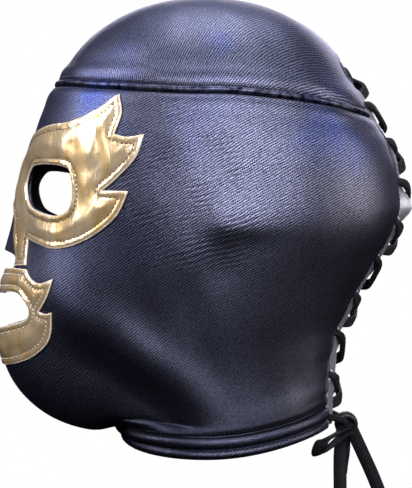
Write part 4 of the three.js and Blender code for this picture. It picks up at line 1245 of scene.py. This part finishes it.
hole_places = HOLE_FIRST + hole_pitch * np.arange(HOLE_PAIRS)
strip_rings = [np.array([[strip_free, 0], [SLIT_HALF + STRIP_TUCK, 0],
                         [SLIT_HALF + STRIP_TUCK, back_length], [strip_free, back_length]])]
strip_rings += [circle(hole_x, place, HOLE_RADIUS) for place in hole_places]
strip_flat, strip_triangles = cut(strip_rings, 1.2)
strip_gap = edge_distance(strip_flat, [np.vstack([r, r[:1]]) for r in strip_rings])
for side, sign in (("left", 1), ("right", -1)):
    x, distance = strip_flat[:, 0] * sign, strip_flat[:, 1]
    middle = strip_offset(x, distance)
    soft = 0.12 * np.sin(distance * 0.21 + sign) + 0.10 * np.sin(distance * 0.47 + x * 0.3)
    middle = middle + soft * smooth((SLIT_HALF - np.abs(x)) / 6)
    rise = STRIP_THICK / 2 - turned_edge(strip_gap, 0.4) - 0.25 * bump(
        np.abs(x) - (SLIT_HALF - 3.4), 1.1) + 0.2 * bump(strip_gap - 1.2, 0.8)
    mesh = wall("lacing_vinyl_" + side, strip_flat * [sign, 1], strip_triangles,
                at_back(x, distance, middle + rise),
                at_back(x, distance, middle - STRIP_THICK / 2), {"edge": strip_gap})
    dress(new_object(mesh.name, mesh, silver_vinyl), "silver_vinyl", ["lacing_strip_" + side],
          flat=(STRIP_WIDTH * MM, 0.212), area=0.0033)
    arms = np.arange(2, back_length - 2, 1.7)
    zig = (SLIT_HALF - 3.4 + np.where(np.arange(len(arms)) % 2, 0.8, -0.8)) * sign
    line = at_back(zig, arms, strip_offset(zig, arms) + STRIP_THICK / 2 + 0.05)
    half_way = (line[:1] + line[1:2]) / 2
    line = np.vstack([half_way, line[1:]])
    away = unit(line - at_back(zig, arms, strip_offset(zig, arms)))
    arm = float(np.median(np.linalg.norm(np.diff(line[1:], axis=0), axis=1)))
    sew("lacing_stitches_" + side, [[line, away]], arm, 2.1, 0.55, pale_thread, "silver_vinyl", 5)
print("strip length:", round(float(back_length), 1), "mm")

# %% [markdown]
# ## The lace
# The lace comes up through a hole, crosses to the other strip, dives under its edge and comes up
# through the next hole. It is one flat braid about a metre long. A few stations give its way, and
# a running average over 16 half millimetres each way rounds its corners as a real lace's own
# stiffness does. It is drawn a little fuller than its solid, because a loose braid swells.

# %% Lace
LACE_PINCHED, LACE_SLACK, LACE_EASE, LACE_FULL = 3.4, 0.8, 16, 2.9
lace_clear = STRIP_THICK / 2 + GAP + LACE_THICK / 2
over_cross = STRIP_LIFT + lace_clear + LACE_SLACK + LACE_THICK


def station(x, distance, offset, width=LACE_WIDTH):
    down = at_back(abs(x), distance + 1, 0.0) - at_back(abs(x), distance - 1, 0.0)
    down = unit(down * [0, 1, 1])
    return np.concatenate([at_back(x, distance, offset), down, [width]])


def crossing(side, k, over):
    slope = hole_pitch / (2 * hole_x)
    half = LACE_WIDTH / 2
    down = lambda x: hole_places[k] + (hole_x - x) * slope
    strip = lambda x, spare=0.0: float(strip_offset(x * side, down(x) + spare))
    stop = lambda x, offset, width=LACE_WIDTH: station(x * side, down(x), offset, width)
    edge = lambda x, limit: limit(strip(x, -half), strip(x), strip(x, half))
    passed = -half / math.sin(math.atan(slope))
    stops = [stop(strip_free, edge(strip_free, max) + lace_clear + LACE_SLACK)]
    if over:
        stops.append(stop(passed, over_cross))
    stops.append(stop(LACE_SLACK - strip_free, edge(-strip_free, min) - lace_clear - LACE_THICK))
    stops.append(stop(-hole_x, strip(-hole_x) - lace_clear - GAP, LACE_PINCHED))
    stops.append(stop(-hole_x, strip(-hole_x) + lace_clear + GAP, LACE_PINCHED))
    return stops


def half_lace(side, over):
    stops = []
    for k in range(HOLE_PAIRS - 1):
        stops += crossing(-side if k % 2 else side, k, over)
    last = -side if (HOLE_PAIRS - 1) % 2 else side
    to_knot = KNOT + [last * (KNOT_HALF[0] + LACE_SLACK), 0, KNOT_HALF[2] / 4]
    return stops + [np.concatenate([to_knot, [0, 0, -1, LACE_PINCHED]])]


first = hole_places[0]
out = float(strip_offset(hole_x, first)) + lace_clear + GAP
into = float(strip_offset(hole_x, first)) - lace_clear - GAP
stops = half_lace(1, False)[::-1]
stops += [station(hole_x, first, out, LACE_PINCHED), station(hole_x, first, into, LACE_PINCHED),
          station(0.0, first, into - GAP), station(-hole_x, first, into, LACE_PINCHED),
          station(-hole_x, first, out, LACE_PINCHED)]
stops = np.array(stops + half_lace(-1, True))
lace_run = along_line(stops[:, :3])
at = np.arange(0, lace_run[-1], 0.5)
lace_stops = np.stack([np.interp(at, lace_run, stops[:, k]) for k in range(7)], -1)
window = np.hanning(2 * LACE_EASE + 1)
padded_stops = np.pad(lace_stops, ((LACE_EASE, LACE_EASE), (0, 0)), "edge")
lace_stops = np.stack([np.convolve(padded_stops[:, k], window / window.sum(), "valid")
                       for k in range(7)], -1)
lace_part = ribbon(lace_stops[:, :3], lace_stops[:, 3:6], lace_stops[:, 6], LACE_FULL)
braid_piece("braid_lace", [lace_part], ["lace"])
print("lace:", round(float(lace_run[-1])), "mm long,", len(lace_part[1]), "faces")

# %% [markdown]
# ## Knot and loops
# The bow is two loops of the same braid and a knot: a turn of lace wound tightly round the middle.

# %% Bow
LEFT_LOOP = [[3, 1, -2], [11, -4, -3], [18, -10, -5], [22, -15, -8], [20, -17, -13],
             [14, -12, -12], [8, -6, -8.5], [2, 0, -4]]
RIGHT_LOOP = [[-3, 0, -3], [-9, -1, -8], [-13, -2, -17], [-14, -2, -25], [-10, -2, -29],
              [-6, -2, -25], [-4, -1, -16], [-2, -1, -5]]
parts = []
for route, across in ((LEFT_LOOP, [0.2, 0.9, 0.4]), (RIGHT_LOOP, [0, 1, 0.1])):
    parts.append(ribbon(smooth_line(np.array(route) + KNOT, 0.5), across, LACE_LOOSE))
turn = np.linspace(0, 2 * math.pi, 90, endpoint=False)
for shift, lean, reach in ((-3.6, 0.25, 1.0), (1.8, -0.2, 1.06), (4.6, 0.35, 0.86)):
    wind = np.stack([shift + lean * KNOT_HALF[1] * np.sin(turn),
                     (KNOT_HALF[1] - 1.0) * reach * np.cos(turn),
                     (KNOT_HALF[2] - 1.0) * reach * np.sin(turn)], -1) + KNOT
    parts.append(ribbon(wind, [1, 0, 0], 5.6, closed=True))
core_turn = np.linspace(-1, 1, 26)
core = np.stack([core_turn * (KNOT_HALF[0] - 1.2), 0 * core_turn, 0 * core_turn], -1) + KNOT
core_width = 2 * (KNOT_HALF[2] - 1.4) * np.sqrt(np.maximum(1 - core_turn ** 2, 0.03))
parts.append(ribbon(core, [0, 0, 1], core_width, 2 * (KNOT_HALF[1] - 1.8)))
braid_piece("braid_bow", parts, ["lace_bow"])
print("bow parts:", len(parts))

# %% [markdown]
# ## Floor and light
# A plain pale floor lies well below the hood and fades out at its rim. It throws no light back, as
# that would fill the dark folds. Six large soft lamps light the cloth from all round, and the dark
# blue surround gives the satin the deep colour between their reflections. The camera sees white.

# %% Studio
FLOOR_HEIGHT = -0.62
FLOOR_RADIUS = 1.05
ring = [(FLOOR_RADIUS * math.cos(a), FLOOR_RADIUS * math.sin(a), FLOOR_HEIGHT)
        for a in np.linspace(0, 2 * math.pi, 96, endpoint=False)]
floor_mesh = bpy.data.meshes.new("floor")
floor_mesh.from_pydata(ring, [], [tuple(range(96))])
floor_paint, tree = new_material("pale_floor")
level_spot = add(tree, "VectorMath.MULTIPLY", add(tree, "TexCoord", out="Object"), (1, 1, 0))
fade = add(tree, "MapRange", add(tree, "VectorMath.LENGTH", level_spot, out="Value"), 0.35, 1.0,
           0.0, 1.0, interpolation_type="SMOOTHSTEP")
matt = add(tree, "BsdfPrincipled", Base_Color="#e8e8ea", Roughness=0.8)
add(tree, "OutputMaterial", add(tree, "MixShader", fade, matt, add(tree, "BsdfTransparent")))
floor = new_object("floor", floor_mesh, floor_paint)
floor.visible_diffuse = floor.visible_glossy = False

world = bpy.data.worlds.new("studio")
scene.world = world
world.use_nodes = True
tree = world.node_tree
tree.nodes.clear()
_, _, up = add(tree, "SeparateXYZ", add(tree, "TexCoord", out="Generated"), out=ALL)
surround = add(tree, "ValToRGB", add(tree, "Math.MULTIPLY", add(tree, "Math.ADD", up, 1.0), 0.5),
               stops=((0.42, "#060610"), (0.52, "#2a2b40"), (0.80, "#565b78")))
seen = add(tree, "LightPath", out="Is Camera Ray")
glow = add(tree, "Mix", seen, data_type="RGBA", _6=surround, _7="#ffffff", out=2)
add(tree, "OutputWorld", add(tree, "Background", Color=glow, Strength=1.0))

LAMPS = [  # name, place, aim, width, height, watts, colour
    ("top_softbox", (0.0, 0.08, 0.85), (0.0, 0.0, 0.0), 0.8, 0.7, 10.0, "#e8eefd"),
    ("side_softbox", (0.88, 0.36, 0.48), (0.0, 0.0, -0.09), 0.9, 0.38, 5.0, "#e2eaff"),
    ("fill_softbox", (1.12, 0.16, 0.14), (0.0, 0.0, -0.12), 1.2, 0.42, 14.0, "#efefff"),
    ("far_softbox", (-1.05, 0.20, 0.36), (0.0, 0.0, -0.10), 1.2, 0.5, 9.0, "#fff9f4"),
    ("front_softbox", (0.25, -0.92, 0.46), (0.0, -0.05, -0.12), 0.5, 0.9, 13.0, "#eef0ff"),
    ("back_softbox", (0.20, 1.1, 0.12), (0.0, 0.08, -0.14), 0.5, 0.8, 6.5, "#fffaf6"),
]
for name, place, aim, width, height, watts, colour in LAMPS:
    lamp = bpy.data.lights.new(name, "AREA")
    lamp.shape = "RECTANGLE"
    lamp.size, lamp.size_y = width, height
    lamp.energy = watts
    lamp.color = linear(colour)[:3]
    lamp_object = bpy.data.objects.new(name, lamp)
    lamp_object.location = place
    aim_at = Vector(aim) - Vector(place)
    lamp_object.rotation_euler = aim_at.to_track_quat("-Z", "Y").to_euler()
    scene.collection.objects.link(lamp_object)
print("lamps:", len(LAMPS))

# %% [markdown]
# The finer pieces have to fill the same space as the plain solids. Here they are counted.

# %% Count of pieces
print("pieces:", len(pieces))
